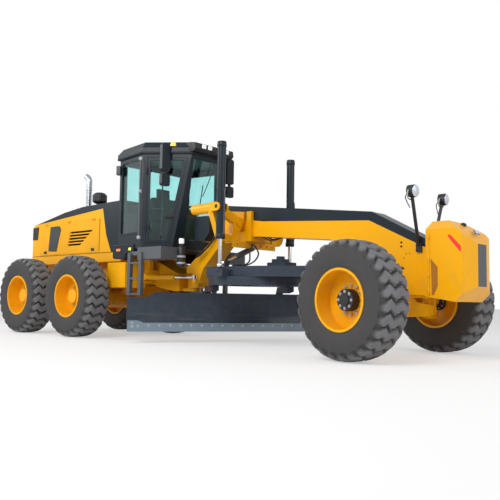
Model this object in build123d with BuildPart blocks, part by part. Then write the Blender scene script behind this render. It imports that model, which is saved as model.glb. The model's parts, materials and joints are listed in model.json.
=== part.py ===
"""A six-wheel motor grader, articulated ahead of its cab.

Millimetres. +X forward, +Y left, +Z up, with the origin on the ground under the middle of the machine's
box. The front wheels are stored turned a little to the right. Every piece is its own solid.
"""

import os
from math import acos, cos, hypot, pi, radians, sin, tan

from build123d import *

os.makedirs("parts", exist_ok=True)

# ---------------------------------------------------------------- driving dimensions
overall_length = 8800
overall_width = 2600
nose_reach = 1020  # front axle to the nose's front face
wheelbase = 6230  # front axle to the middle of the tandem
tandem_spacing = 1620
tyre_radius = 675
tyre_width = 445
blade_length = 3660
circle_at_rest = -31  # degrees, the blade stored with its left end forward
rim_radius = 352
hub_radius = 115
steer_at_rest = -8  # degrees, stored turned to the right
run = 0.05  # radial running clearance at pins, shafts and bores
seat_gap = 0.3  # gap between pieces that rest on each other

front_axle_x = overall_length / 2 - nose_reach
tandem_x = front_axle_x - wheelbase
wheel_y = (overall_width - tyre_width) / 2
wheel_inner = wheel_y - tyre_width / 2
hinge_x = front_axle_x - 3710  # articulation pin
circle_x = front_axle_x - 2360  # middle of the blade circle
rear_x = -overall_length / 2

SIDES = (("left", 1), ("right", -1))


pieces = {}


def write(part, name):
    """Keep a finished piece; all are written together at the end."""
    part.label = name
    pieces[name] = part


def side_plane(y):
    """A sketch plane across the machine at y, drawn in x and z; positive extrusion goes to +Y."""
    return Plane(origin=(0, y, 0), x_dir=(-1, 0, 0), z_dir=(0, 1, 0))


def outline(points):
    """A closed polygon in x and z on a side plane, whose own x runs rearwards."""
    return Polygon(*[(-x, z) for x, z in points], align=None)


# ---------------------------------------------------------------- wheels
tyre_bead_radius = rim_radius - 12
tyre_bead_width = tyre_width - 70
rim_wall = 14
disc_offset = -40  # wheel disc, inboard of the wheel's middle
disc_thickness = 22
hub_length = 190


def wheel_plane(centre, outward):
    """A sketch plane through a wheel's middle: x runs outward along its axle, y runs up."""
    across = Vector(*outward).cross(Vector(0, 0, 1))
    return Plane(origin=centre, x_dir=outward, z_dir=across)


def build_tyre(plane):
    half = tyre_width / 2
    bead = tyre_bead_width / 2
    with BuildPart() as tyre:
        with BuildSketch(plane):
            with BuildLine():
                Polyline(
                    (-bead, tyre_bead_radius),
                    (-bead, rim_radius + 3),
                    (-half, 480),
                    (-half + 6, 620),
                    (-half + 45, tyre_radius),
                    (half - 45, tyre_radius),
                    (half - 6, 620),
                    (half, 480),
                    (bead, rim_radius + 3),
                    (bead, tyre_bead_radius),
                    close=True,
                )
            make_face()
        revolve(axis=Axis(plane.origin, plane.x_dir))
    return tyre.part


def build_rim(plane, spindle_radius):
    """Deep-dish rim with its hub; the blind bore opens inboard."""
    inner = tyre_bead_radius - 1 - rim_wall
    edge = tyre_bead_width / 2 + 1
    lip = 14
    hub_end = disc_offset + hub_length - 60
    with BuildPart() as rim:
        with BuildSketch(plane):
            with BuildLine():
                Polyline(
                    (-edge, inner),
                    (-edge, inner + rim_wall),
                    (edge, inner + rim_wall),
                    (edge, rim_radius),
                    (edge + lip, rim_radius),
                    (edge + lip, inner),
                    (disc_offset + disc_thickness, inner),
                    (disc_offset + disc_thickness, hub_radius),
                    (hub_end, hub_radius),
                    (hub_end, 0),
                    (hub_end - 30, 0),
                    (hub_end - 30, spindle_radius + run),
                    (disc_offset - 60, spindle_radius + run),
                    (disc_offset - 60, hub_radius),
                    (disc_offset, hub_radius),
                    (disc_offset, inner),
                    close=True,
                )
            make_face()
            # the inboard lip
            with BuildLine():
                Polyline(
                    (-edge - lip, inner),
                    (-edge - lip, rim_radius),
                    (-edge, rim_radius),
                    (-edge, inner),
                    close=True,
                )
            make_face()
        revolve(axis=Axis(plane.origin, plane.x_dir))
    return rim.part


spindle_radius = 42
for side, s in SIDES:
    for row, x in (("mid", tandem_x + tandem_spacing / 2), ("rear", tandem_x - tandem_spacing / 2)):
        plane = wheel_plane((x, s * wheel_y, tyre_radius), (0, s, 0))
        write(build_tyre(plane), f"{row}_tyre_{side}")
        write(build_rim(plane, spindle_radius), f"{row}_rim_{side}")

# ---------------------------------------------------------------- tandem cases and rear axle
case_outer = wheel_inner - 55
case_inner = case_outer - 210
case_height = 430
case_reach = tandem_spacing / 2 + 190
axle_tube_radius = 150
diff_radius = 215

with BuildPart() as tandem_axle:
    for side, s in SIDES:
        with BuildSketch(side_plane(s * case_inner)):
            with Locations((-tandem_x, tyre_radius)):
                SlotOverall(2 * case_reach, case_height)
        extrude(amount=s * (case_outer - case_inner))
        for x in (tandem_x + tandem_spacing / 2, tandem_x - tandem_spacing / 2):
            with BuildSketch(side_plane(s * case_outer)):
                with Locations((-x, tyre_radius)):
                    Circle(spindle_radius)
            extrude(amount=s * (wheel_y + disc_offset + hub_length - 60 - 32 - case_outer))
    with BuildSketch(side_plane(-case_inner)):
        with Locations((-tandem_x, tyre_radius)):
            Circle(axle_tube_radius)
    extrude(amount=2 * case_inner)
    with Locations((tandem_x, 0, tyre_radius)):
        Sphere(diff_radius)
write(tandem_axle.part, "tandem_axle")


# ---------------------------------------------------------------- articulation joint
ear_radius = 110
pin_radius = 45
lower_ear = (780, 825)
upper_ear = (1000, 1045)
lug_gap = 5

# ---------------------------------------------------------------- rear frame
arm_half = 190
rail_inner = 300
rail_outer = 380
rail_bottom = 900
rail_top = 1270
cab_floor = 1440
rail_front = -1010
bumper_front = rear_x + 150
deck_top = 1300
deck_half = 600
hood_rear = rear_x + 20
hood_front = -1500
locker_rear = -1600
locker_front = -1120
locker_low = 825
locker_top = 1235
locker_outer = wheel_inner - 65

with BuildPart() as rear_frame:
    # front arm down to the articulation pin
    with BuildSketch(side_plane(-arm_half)):
        outline(
            [
                (hinge_x - 150, lower_ear[0]),
                (hinge_x - 150, upper_ear[1]),
                (-1118, 1307),
                (-1150, 1330),
                (-1150, rail_bottom),
                (-950, 830),
                (hinge_x - 300, lower_ear[0]),
            ]
        )
    extrude(amount=2 * arm_half)
    for low, high in (lower_ear, upper_ear):
        with BuildSketch(Plane.XY.offset(low)):
            with Locations((hinge_x, 0)):
                Circle(ear_radius)
            with Locations((hinge_x - 80, 0)):
                Rectangle(160, 2 * ear_radius)
        extrude(amount=high - low)
    with BuildSketch(Plane.XY.offset(lower_ear[0])):
        with Locations((hinge_x, 0)):
            Circle(pin_radius)
    extrude(amount=upper_ear[1] - lower_ear[0])
    # two rails joined by cross boxes, with the hood's deck along their tops
    for side, s in SIDES:
        with BuildSketch(side_plane(s * rail_inner)):
            outline(
                [
                    (rail_front, rail_bottom),
                    (rail_front, 1330),
                    (-1350, 1330),
                    (-1500, rail_top),
                    (bumper_front, rail_top),
                    (bumper_front, 1000),
                    (-3800, rail_bottom),
                ]
            )
        extrude(amount=s * (rail_outer - rail_inner))
        with BuildSketch(side_plane(s * rail_inner)):
            outline(
                [(hood_front, rail_top), (hood_front, deck_top), (hood_rear, deck_top), (hood_rear, rail_top)]
            )
        extrude(amount=s * (deck_half - rail_inner))
    for x in (-1050, tandem_x + 350, tandem_x - 350, bumper_front + 60):
        with Locations((x, 0, 1060)):
            Box(120, 2 * rail_outer - 20, 120)
    # storage boxes on the rails, ahead of the tandem
    for side, s in SIDES:
        with BuildSketch(side_plane(s * (rail_outer - 5))):
            outline(
                [
                    (locker_rear, locker_low + 60),
                    (locker_rear, locker_top),
                    (locker_front, locker_top),
                    (locker_front, locker_low),
                    (locker_rear + 60, locker_low),
                ]
            )
        extrude(amount=s * (locker_outer - rail_outer + 5))
    # saddles on the rear axle
    for side, s in SIDES:
        with BuildSketch(side_plane(s * rail_inner)):
            with Locations((-tandem_x, 860)):
                Rectangle(400, 160)
            with Locations((-tandem_x, tyre_radius)):
                Circle(axle_tube_radius + seat_gap, mode=Mode.SUBTRACT)
        extrude(amount=s * (rail_outer - rail_inner))
    # cab mounts, and pads for the articulation cylinders
    for side, s in SIDES:
        for x in (rail_front - 60, -1290):
            with Locations((x, s * (rail_inner + rail_outer) / 2, 1320)):
                Cylinder(38, cab_floor - seat_gap - 1320, align=(Align.CENTER, Align.CENTER, Align.MIN))
        with Locations((hinge_x - 700, s * 450, 925)):
            Box(140, 160, 30)
        with Locations((hinge_x - 700, s * 450, 940)):
            Cylinder(24, 130, align=(Align.CENTER, Align.CENTER, Align.MIN))
write(rear_frame.part, "rear_frame")

tow_pocket = (110, 260, 300)  # depth, width and height
tow_bore_in = 65  # bore's axis, ahead of the bumper's rear face
tow_bore_radius = 26
tow_ears = (930, 1070)
tow_ear_height = 30
with BuildPart() as rear_bumper:
    with BuildSketch(side_plane(-450)):
        outline([(rear_x, 880), (rear_x, 1250), (bumper_front, 1250), (bumper_front, 880)])
    extrude(amount=900)
    # pocket with a towing clevis, open to the rear and below
    with Locations((rear_x + tow_pocket[0] / 2, 0, 880 + tow_pocket[2] / 2)):
        Box(tow_pocket[0] + 0.1, tow_pocket[1], tow_pocket[2] + 0.1, mode=Mode.SUBTRACT)
    for z in tow_ears:
        with BuildSketch(Plane.XY.offset(z)):
            with Locations((rear_x + tow_bore_in, 0)):
                Circle(60)
            with Locations((rear_x + (tow_bore_in + tow_pocket[0] + 5) / 2, 0)):
                Rectangle(tow_pocket[0] + 5 - tow_bore_in, 120)
            with Locations((rear_x + tow_bore_in, 0)):
                Circle(tow_bore_radius, mode=Mode.SUBTRACT)
        extrude(amount=tow_ear_height)
write(rear_bumper.part, "rear_bumper")

with BuildPart() as engine_block:
    with Locations((-3200, 0, 1120 + seat_gap)):
        Box(1750, 2 * rail_inner - 20, 700, align=(Align.CENTER, Align.CENTER, Align.MIN))
write(engine_block.part, "engine_block")

# ---------------------------------------------------------------- hood
hood_half = 600
hood_wall = 28
door_front = -2150
door_rear = -4080
door_bottom = 1445
door_top = 2035
door_gap = 4
hood_hinge_y = hood_half + 12
hood_hinge_radius = 10
hood_hinge_pin = 5
hood_hinge_width = 60
hood_hinges = (-3900, -3115, -2330)
hood_leaf = 5

hood_profile = [
    (hood_rear, deck_top),
    (hood_rear, 1990),
    (-4340, 2045),
    (-3273, 2225),
    (-2694, 2285),
    (-1700, 2303),
    (hood_front, 2303),
    (hood_front, deck_top),
]
with BuildPart() as hood:
    with BuildSketch(side_plane(-hood_half)):
        outline(hood_profile)
    extrude(amount=2 * hood_half)
    with BuildSketch(side_plane(-hood_half + hood_wall)):
        outline(hood_profile)
        offset(amount=-hood_wall, kind=Kind.INTERSECTION)
    extrude(amount=2 * (hood_half - hood_wall), mode=Mode.SUBTRACT)
    # open below
    with Locations(((hood_front + hood_rear) / 2, 0, deck_top)):
        Box(
            hood_front - hood_rear - 2 * hood_wall,
            2 * (hood_half - hood_wall),
            4 * hood_wall,
            mode=Mode.SUBTRACT,
        )
    with Locations(((door_front + door_rear) / 2, 0, (door_bottom + door_top) / 2)):
        Box(door_front - door_rear, 2 * hood_half + 10, door_top - door_bottom, mode=Mode.SUBTRACT)
    # hinge lugs above the doors, each pair with its pin
    for side, s in SIDES:
        for x in hood_hinges:
            for lug in (-hood_hinge_width / 2 - 16, hood_hinge_width / 2 + 1):
                with BuildSketch(Plane.YZ.offset(x + lug)):
                    with Locations((s * hood_hinge_y, door_top)):
                        Circle(hood_hinge_radius)
                    with Locations((s * (hood_half + hood_leaf / 2), door_top + 22)):
                        Rectangle(hood_leaf, 44)
                extrude(amount=15)
            with BuildSketch(Plane.YZ.offset(x - hood_hinge_width / 2 - 16)):
                with Locations((s * hood_hinge_y, door_top)):
                    Circle(hood_hinge_pin)
            extrude(amount=hood_hinge_width + 32)
write(hood.part, "hood")

louvre = [(-3801, 1520), (-3746, 1985), (-3430, 1985), (-3372, 1910), (-3440, 1717), (-3506, 1505)]
slat_pitch = 72
# top and bottom heights of the grille's five rows, stepping down
grille_top = 1852
grille_pitch = 56
grille_height = 34

for side, s in SIDES:
    with BuildPart() as hood_door:
        with Locations(((door_front + door_rear) / 2, s * (hood_half - hood_wall / 2), door_top - 0.8)):
            Box(
                door_front - door_rear - 2 * door_gap,
                hood_wall,
                door_top - door_bottom - door_gap - 0.8,
                align=(Align.CENTER, Align.CENTER, Align.MAX),
            )
        # cooling louvre, with slats set back in it
        with BuildSketch(side_plane(s * (hood_half - hood_wall - 5))):
            outline(louvre)
        extrude(amount=s * (hood_wall + 10), mode=Mode.SUBTRACT)
        with BuildPart(mode=Mode.PRIVATE) as slats:
            with BuildSketch(side_plane(s * (hood_half - hood_wall))):
                outline(louvre)
                offset(amount=3, kind=Kind.INTERSECTION)
            extrude(amount=s * (hood_wall - 8))
            with Locations((0, 0, 0)):
                with BuildSketch(side_plane(s * (hood_half - hood_wall))):
                    for row in range(6):
                        with Locations((3600, 1560 + row * slat_pitch)):
                            Rectangle(600, 26)
                extrude(amount=s * (hood_wall - 8), mode=Mode.INTERSECT)
        add(slats.part)
        # grille of five slots whose front ends step back
        with BuildSketch(side_plane(s * (hood_half - hood_wall - 5))):
            for row in range(5):
                top = grille_top - row * grille_pitch
                front, rear = -2345 - row * 84, -3062 - row * 17
                outline(
                    [
                        (rear, top),
                        (front, top),
                        (front - 45, top - grille_height),
                        (rear - 10, top - grille_height),
                    ]
                )
        extrude(amount=s * (hood_wall + 10), mode=Mode.SUBTRACT)
        # hinge barrels on leaves
        for x in hood_hinges:
            with BuildSketch(Plane.YZ.offset(x - hood_hinge_width / 2)):
                with Locations((s * hood_hinge_y, door_top)):
                    Circle(hood_hinge_radius)
                with Locations((s * (hood_half + hood_leaf / 2), door_top - 22)):
                    Rectangle(hood_leaf, 44)
                with Locations((s * hood_hinge_y, door_top)):
                    Circle(hood_hinge_pin + run, mode=Mode.SUBTRACT)
            extrude(amount=hood_hinge_width)
    write(hood_door.part, f"hood_door_{side}")


def hood_top(x):
    """Height just above the sloping top of the hood."""
    for (rear, low), (front, high) in zip(hood_profile[1:], hood_profile[2:]):
        if rear <= x <= front:
            return low + (high - low) * (x - rear) / (front - rear) + seat_gap
    raise ValueError("this is not over the hood")


stack_x = -3027
stack_y = -250
stack_radius = 52
stack_bend = 2830  # height where the stack turns rearwards
cleaner_x = -2673
cleaner_radius = 128
with BuildPart() as exhaust_stack:
    with BuildLine():
        foot = (stack_x, stack_y, hood_top(stack_x + stack_radius))
        pipe = Line(foot, (stack_x, stack_y, stack_bend))
        bend_end = (
            stack_x - 110 * (1 - cos(radians(60))),
            stack_y,
            stack_bend + 110 * sin(radians(60)),
        )
        bend_mid = (
            stack_x - 110 * (1 - cos(radians(30))),
            stack_y,
            stack_bend + 110 * sin(radians(30)),
        )
        bend = ThreePointArc(pipe @ 1, bend_mid, bend_end)
        Line(bend @ 1, Vector(*bend_end) + 45 * Vector(-sin(radians(60)), 0, cos(radians(60))))
    with BuildSketch(Plane(origin=foot, z_dir=(0, 0, 1))):
        Circle(stack_radius)
    sweep()
write(exhaust_stack.part, "exhaust_stack")

with BuildPart() as pre_cleaner:
    with BuildSketch(Plane(origin=(cleaner_x, stack_y, 0), x_dir=(1, 0, 0), z_dir=(0, -1, 0))):
        with BuildLine():
            Polyline(
                (0, 2588),
                (0, hood_top(cleaner_x + 60)),
                (60, hood_top(cleaner_x + 60)),
                (60, 2392),
                (cleaner_radius - 30, 2392),
                (cleaner_radius, 2425),
                (cleaner_radius, 2520),
            )
            ThreePointArc(
                (cleaner_radius, 2520), (cleaner_radius - 22, 2566), (cleaner_radius - 70, 2588)
            )
            Line((cleaner_radius - 70, 2588), (0, 2588))
        make_face()
    revolve(axis=Axis((cleaner_x, stack_y, 0), (0, 0, 1)))
write(pre_cleaner.part, "pre_cleaner")

# ---------------------------------------------------------------- cab
cab_sill = 1520
cab_eaves = 2930
cab_wall = 60
cab_rear = -1400
cab_rear_half = 740
door_post = (-650, 850)  # the side's widest corner
front_post_top = (-40, 380)
front_lean = 214  # the windscreen's foot lies this far behind its head
screen_slope = front_lean / (cab_eaves - 1500)
roof_overhang = 35
roof_height = 3120


def cab_plan(inset=0.0):
    """The cab's six-sided plan, before the windscreen's slope is cut."""
    Polygon(
        (cab_rear, -cab_rear_half),
        (door_post[0], -door_post[1]),
        (front_post_top[0], -front_post_top[1]),
        (front_post_top[0], front_post_top[1]),
        (door_post[0], door_post[1]),
        (cab_rear, cab_rear_half),
        align=None,
    )
    if inset:
        offset(amount=-inset, kind=Kind.INTERSECTION)


def ahead_of_screen(inset=0.0):
    """What the sloping windscreen plane cuts away, drawn on a side plane."""
    head = front_post_top[0] - inset
    foot = head - screen_slope * (cab_eaves - cab_floor)
    outline([(foot, cab_floor), (head, cab_eaves), (400, cab_eaves), (400, cab_floor)])


panel_run = hypot(front_post_top[0] - door_post[0], front_post_top[1] - door_post[1])


def door_plane(s):
    """The door panel's outer face: x runs from the door post to the front post, y runs up."""
    along = Vector(front_post_top[0] - door_post[0], s * (front_post_top[1] - door_post[1]), 0).normalized()
    return Plane(origin=(door_post[0], s * door_post[1], 0), x_dir=along, z_dir=along.cross(Vector(0, 0, 1)))


door_edge = 62  # door post's face to the door opening
door_head = 2870
door_thickness = 45
front_edge_slope = screen_slope * panel_run / (front_post_top[0] - door_post[0])


def front_edge(z, margin):
    """Where the front post's inner edge stands along the door panel at height z."""
    return panel_run - front_edge_slope * (cab_eaves - z) - margin


def door_outline(gap=0.0):
    Polygon(
        (door_edge + gap, cab_sill + gap),
        (front_edge(cab_sill, 66) - gap, cab_sill + gap),
        (front_edge(door_head, 66) - gap, door_head - gap),
        (door_edge + gap, door_head - gap),
        align=None,
    )


rear_side_length = hypot(door_post[0] - cab_rear, door_post[1] - cab_rear_half)


def rear_side_plane(s):
    """The rear side panel's outer face: x runs from the rear corner to the door post."""
    along = Vector(door_post[0] - cab_rear, s * (door_post[1] - cab_rear_half), 0).normalized()
    return Plane(origin=(cab_rear, s * cab_rear_half, 0), x_dir=along, z_dir=along.cross(Vector(0, 0, 1)))


door_hinge_out = 18  # hinge line, outboard of the panel's face
door_hinge_along = 64  # and along the panel from the door post's corner
door_hinges = (1720, 2620)
door_hinge_radius = 14
door_hinge_pin = 7
door_hinge_height = 70
door_leaf = 8


def hinge_plane(s, z):
    """A level plane on a door's hinge line: x runs along the panel, and s times y runs outward."""
    panel = door_plane(s)
    centre = panel.from_local_coords(Vector(door_hinge_along, z, -s * door_hinge_out))
    return Plane(origin=centre, x_dir=panel.x_dir, z_dir=(0, 0, 1))


def hinge_leaf(s, length):
    """A hinge knuckle's outline with its leaf; a negative length runs towards the door post."""
    Circle(door_hinge_radius)
    with Locations((length / 2, s * (door_leaf / 2 - door_hinge_out))):
        Rectangle(abs(length), door_leaf)


glass_thickness = 8
window_low = 1700
window_high = 2850
screen_low = 1580
screen_high = 2860
screen_half = 330

with BuildPart() as cab_shell:
    with BuildSketch(Plane.XY.offset(cab_floor)):
        cab_plan()
    extrude(amount=cab_eaves - cab_floor)
    with BuildSketch(side_plane(-1000)):
        ahead_of_screen()
    extrude(amount=2000, mode=Mode.SUBTRACT)
    with BuildPart(mode=Mode.PRIVATE) as cab_room:
        with BuildSketch(Plane.XY.offset(cab_floor + cab_wall)):
            cab_plan(cab_wall)
        extrude(amount=cab_eaves - cab_floor)
        with BuildSketch(side_plane(-1000)):
            outline(
                [
                    (front_post_top[0] - cab_wall - screen_slope * (cab_eaves - cab_floor), cab_floor),
                    (front_post_top[0] - cab_wall + screen_slope * 100, cab_eaves + 100),
                    (400, cab_eaves + 100),
                    (400, cab_floor),
                ]
            )
        extrude(amount=2000, mode=Mode.SUBTRACT)
    add(cab_room.part, mode=Mode.SUBTRACT)
    # door openings and rear side windows
    for side, s in SIDES:
        with BuildSketch(door_plane(s).offset(-100)):
            door_outline()
        extrude(amount=200, mode=Mode.SUBTRACT)
        with BuildSketch(rear_side_plane(s).offset(-90)):
            with Locations((rear_side_length / 2, (window_low + window_high) / 2)):
                Rectangle(rear_side_length - 150, window_high - window_low)
        extrude(amount=180, mode=Mode.SUBTRACT)
    # rear window and windscreen
    with Locations((cab_rear, 0, (window_low + window_high) / 2)):
        Box(200, 2 * cab_rear_half - 220, window_high - window_low, mode=Mode.SUBTRACT)
    with BuildSketch(Plane.YZ.offset(-400)):
        with Locations((0, (screen_low + screen_high) / 2)):
            Rectangle(2 * screen_half, screen_high - screen_low)
    extrude(amount=500, mode=Mode.SUBTRACT)
    # lugs and pins of the doors' hinges
    for side, s in SIDES:
        for z in door_hinges:
            for low in (z - 13, z + door_hinge_height + 1):
                with BuildSketch(hinge_plane(s, low)):
                    hinge_leaf(s, -50)
                extrude(amount=12)
            with BuildSketch(hinge_plane(s, z - 13)):
                Circle(door_hinge_pin)
            extrude(amount=door_hinge_height + 26)
write(cab_shell.part, "cab_shell")

with BuildPart() as cab_glass:
    # windscreen
    with BuildSketch(side_plane(-screen_half)):
        outline(
            [
                (front_post_top[0] - screen_slope * (cab_eaves - z) - d, z)
                for z, d in (
                    (screen_low, 20),
                    (screen_high, 20),
                    (screen_high, 20 + glass_thickness),
                    (screen_low, 20 + glass_thickness),
                )
            ]
        )
    extrude(amount=2 * screen_half)
    with Locations((cab_rear + 20, 0, (window_low + window_high) / 2)):
        Box(glass_thickness, 2 * cab_rear_half - 220, window_high - window_low)
    for side, s in SIDES:
        with BuildSketch(rear_side_plane(s).offset(s * 20 - glass_thickness / 2)):
            with Locations((rear_side_length / 2, (window_low + window_high) / 2)):
                Rectangle(rear_side_length - 150, window_high - window_low)
        extrude(amount=glass_thickness)
write(cab_glass.part, "cab_glass")

door_frame = 45
mirror_x = -285
mirror_y = 720
mirror_width = 165
mirror_depth = 60
mirror_stalk = 14
mirror_arm_z = door_head - 26
mirrors = ((2840, 430), (2490, 190))  # middle height and height of each head
for side, s in SIDES:
    outward = -s
    with BuildPart() as cab_door:
        with BuildSketch(door_plane(s)):
            door_outline(door_gap)
            with BuildSketch(mode=Mode.PRIVATE) as pane:
                door_outline(door_gap + door_frame)
            add(pane.sketch, mode=Mode.SUBTRACT)
        extrude(amount=-outward * door_thickness)
        # hinge knuckles
        for z in door_hinges:
            with BuildSketch(hinge_plane(s, z)):
                hinge_leaf(s, 60)
                Circle(door_hinge_pin + run, mode=Mode.SUBTRACT)
            extrude(amount=door_hinge_height)
        # two mirror heads on a stalk, held by an arm from the door's top rail
        for z, height in mirrors:
            with BuildSketch(Plane.YZ.offset(mirror_x - mirror_depth / 2)):
                with Locations((s * mirror_y, z)):
                    RectangleRounded(mirror_width, height, 35)
            extrude(amount=mirror_depth)
        with BuildSketch(Plane.XY.offset(mirrors[1][0])):
            with Locations((mirror_x, s * mirror_y)):
                Circle(mirror_stalk)
        extrude(amount=mirrors[0][0] - mirrors[1][0])
        stalk = Vector(mirror_x, s * mirror_y, mirror_arm_z)
        face = door_plane(s)
        foot = face.to_local_coords(stalk)
        with BuildSketch(face.offset(-outward * 20)):
            with Locations((foot.X, foot.Y)):
                Circle(mirror_stalk)
        extrude(amount=outward * (20 + abs(foot.Z)))
    write(cab_door.part, f"cab_door_{side}")
    with BuildPart() as door_glass:
        with BuildSketch(door_plane(s).offset(-outward * 18)):
            door_outline(door_gap + door_frame)
        extrude(amount=-outward * glass_thickness)
    write(door_glass.part, f"door_glass_{side}")

with BuildPart() as cab_roof:
    with BuildSketch(Plane.XY.offset(cab_eaves)):
        cab_plan(-roof_overhang)
    extrude(amount=90)
    with BuildSketch(Plane.XY.offset(cab_eaves + 90)):
        cab_plan(-roof_overhang)
    extrude(amount=roof_height - cab_eaves - 90, taper=35)
write(cab_roof.part, "cab_roof")

seat_x = -950
seat_floor = cab_floor + cab_wall
with BuildPart() as seat:
    with BuildSketch(Plane.XY.offset(seat_floor)):
        with Locations((seat_x, 0)):
            RectangleRounded(300, 300, 40)
    extrude(amount=300)
    with BuildSketch(Plane.XY.offset(seat_floor + 300)):
        with Locations((seat_x, 0)):
            RectangleRounded(500, 500, 80)
    extrude(amount=130)
    # backrest with a narrower headrest
    with BuildSketch(side_plane(-235)):
        outline([(-1090, 1840), (-1130, 2360), (-1200, 2360), (-1230, 2300), (-1200, 1840)])
    extrude(amount=470)
    with BuildSketch(side_plane(-120)):
        outline([(-1130, 2340), (-1140, 2520), (-1205, 2520), (-1200, 2340)])
    extrude(amount=240)
write(seat.part, "seat")

with BuildPart() as steering_console:
    with Locations((-450, 0, cab_floor + cab_wall)):
        Box(120, 160, 610, align=(Align.CENTER, Align.CENTER, Align.MIN))
    with BuildSketch(Plane(origin=(-480, 0, 2070), z_dir=(-0.5, 0, 1))):
        Circle(190)
        Circle(165, mode=Mode.SUBTRACT)
        Rectangle(30, 350)
    extrude(amount=25)
write(steering_console.part, "steering_console")

step_front = -80
step_rear = -640
step_inner = 560
step_outer = 930
step_low = 1255
rung_x = (-810, -540)
with BuildPart() as steps:
    for side, s in SIDES:
        with Locations(((step_front + step_rear) / 2, s * (step_inner + step_outer) / 2, (step_low + cab_floor) / 2)):
            Box(step_front - step_rear, step_outer - step_inner, cab_floor - step_low)
        # ladder stringers hung from the box's rear end, with rungs
        with Locations((-725, s * 890, 1350)):
            Box(220, 80, 60)
        for x in rung_x:
            with BuildSketch(side_plane(s * 900)):
                with Locations((-x, 1030)):
                    Rectangle(70, 660)
            extrude(amount=s * 60)
        for z in (720, 960, 1200):
            with Locations((sum(rung_x) / 2, s * 930, z)):
                Box(rung_x[1] - rung_x[0], 50, 30)
write(steps.part, "steps")

# ---------------------------------------------------------------- front frame
beam_half = 160
lug_low = lower_ear[1] + lug_gap
lug_high = upper_ear[0] - lug_gap
bolster_rear = front_axle_x - 90
bolster_front = front_axle_x + 520
bolster_low = 760
oscillation_z = 680
oscillation_radius = 45
ball_x = front_axle_x - 250  # the drawbar's ball
ball_z = 1030
ball_radius = 65
ball_stud_radius = 36
valve_box_half = 300

with BuildPart() as front_frame:
    with BuildSketch(side_plane(-beam_half)):
        outline(
            [
                (hinge_x + 130, lug_low),
                (-85, 843),
                (32, 1133),
                (355, 1446),
                (470, 1560),
                (690, 1610),
                (1250, 1570),
                (2440, 1470),
                (bolster_rear, 1120),
                (bolster_rear, bolster_low),
                (bolster_front - 60, bolster_low - 20),
                (bolster_front, bolster_low + 40),
                (bolster_front, 1370),
                (3790, 1410),
                (3060, 1790),
                (1950, 1920),
                (440, 2090),
                (320, 2060),
                (230, 1700),
                (150, 1518),
                (hinge_x - 13, upper_ear[1] + 104),
                (hinge_x - 13, upper_ear[1] + 10),
                (hinge_x + 130, upper_ear[1] + 10),
                (hinge_x + 130, lug_high),
            ]
        )
    extrude(amount=2 * beam_half)
    # articulation lug
    with BuildSketch(Plane.XY.offset(lug_low)):
        with Locations((hinge_x, 0)):
            Circle(ear_radius - 5)
        with Locations((hinge_x + 80, 0)):
            Rectangle(160, 2 * ear_radius - 10)
        with Locations((hinge_x, 0)):
            Circle(pin_radius + run, mode=Mode.SUBTRACT)
    extrude(amount=lug_high - lug_low)
    # ears that carry the front axle's oscillation pin
    for x in (bolster_rear + 20, front_axle_x + 90):
        with BuildSketch(Plane.YZ.offset(x - 20)):
            with Locations((0, oscillation_z)):
                Circle(85)
            with Locations((0, (oscillation_z + bolster_low) / 2)):
                Rectangle(170, bolster_low - oscillation_z + 20)
            with Locations((0, oscillation_z)):
                Circle(oscillation_radius + run, mode=Mode.SUBTRACT)
        extrude(amount=40)
    # the drawbar's ball
    with BuildSketch(Plane.YZ.offset(ball_x)):
        with Locations((0, ball_z)):
            Circle(ball_stud_radius)
    extrude(amount=bolster_rear - ball_x + 5)
    with Locations((ball_x, 0, ball_z)):
        Sphere(ball_radius)
    # valve box astride the rear leg, and lugs for the articulation cylinders
    with BuildSketch(side_plane(-valve_box_half)):
        outline([(-40, 1555), (-40, 1900), (-10, 1935), (230, 1935), (290, 1870), (290, 1670), (190, 1555)])
    extrude(amount=2 * valve_box_half)
    for side, s in SIDES:
        with BuildSketch(Plane.XY.offset(910)):
            with Locations((hinge_x + 260, s * 250)):
                Circle(34)
            with Locations((hinge_x + 260, s * 175)):
                Rectangle(68, 150)
        extrude(amount=30)
        with Locations((hinge_x + 260, s * 250, 940)):
            Cylinder(24, 12, align=(Align.CENTER, Align.CENTER, Align.MIN))
write(front_frame.part, "front_frame")

nose_rear = bolster_front + 0.2
nose_front = front_axle_x + nose_reach
nose_half = 380
nose_tip_half = 145
with BuildPart() as nose_weight:
    with BuildSketch(side_plane(-nose_half)):
        outline(
            [
                (nose_rear, 730),
                (nose_front - 160, 673),
                (nose_front, 840),
                (nose_front, 1330),
                (nose_front - 110, 1470),
                (nose_front - 300, 1600),
                (nose_rear, 1600),
            ]
        )
    extrude(amount=2 * nose_half)
    with BuildSketch(Plane.XY.offset(600)):
        Polygon(
            (nose_rear, -nose_half),
            (nose_front - 70, -nose_half),
            (nose_front, -nose_tip_half),
            (nose_front, nose_tip_half),
            (nose_front - 70, nose_half),
            (nose_rear, nose_half),
            align=None,
        )
    extrude(amount=1100, mode=Mode.INTERSECT)
    with BuildSketch(Plane.YZ.offset(nose_rear)):
        Polygon(
            (-nose_half, 600),
            (nose_half, 600),
            (nose_half, 1490),
            (200, 1600),
            (-200, 1600),
            (-nose_half, 1490),
            align=None,
        )
    extrude(amount=600, mode=Mode.INTERSECT)
write(nose_weight.part, "nose_weight")

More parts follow.
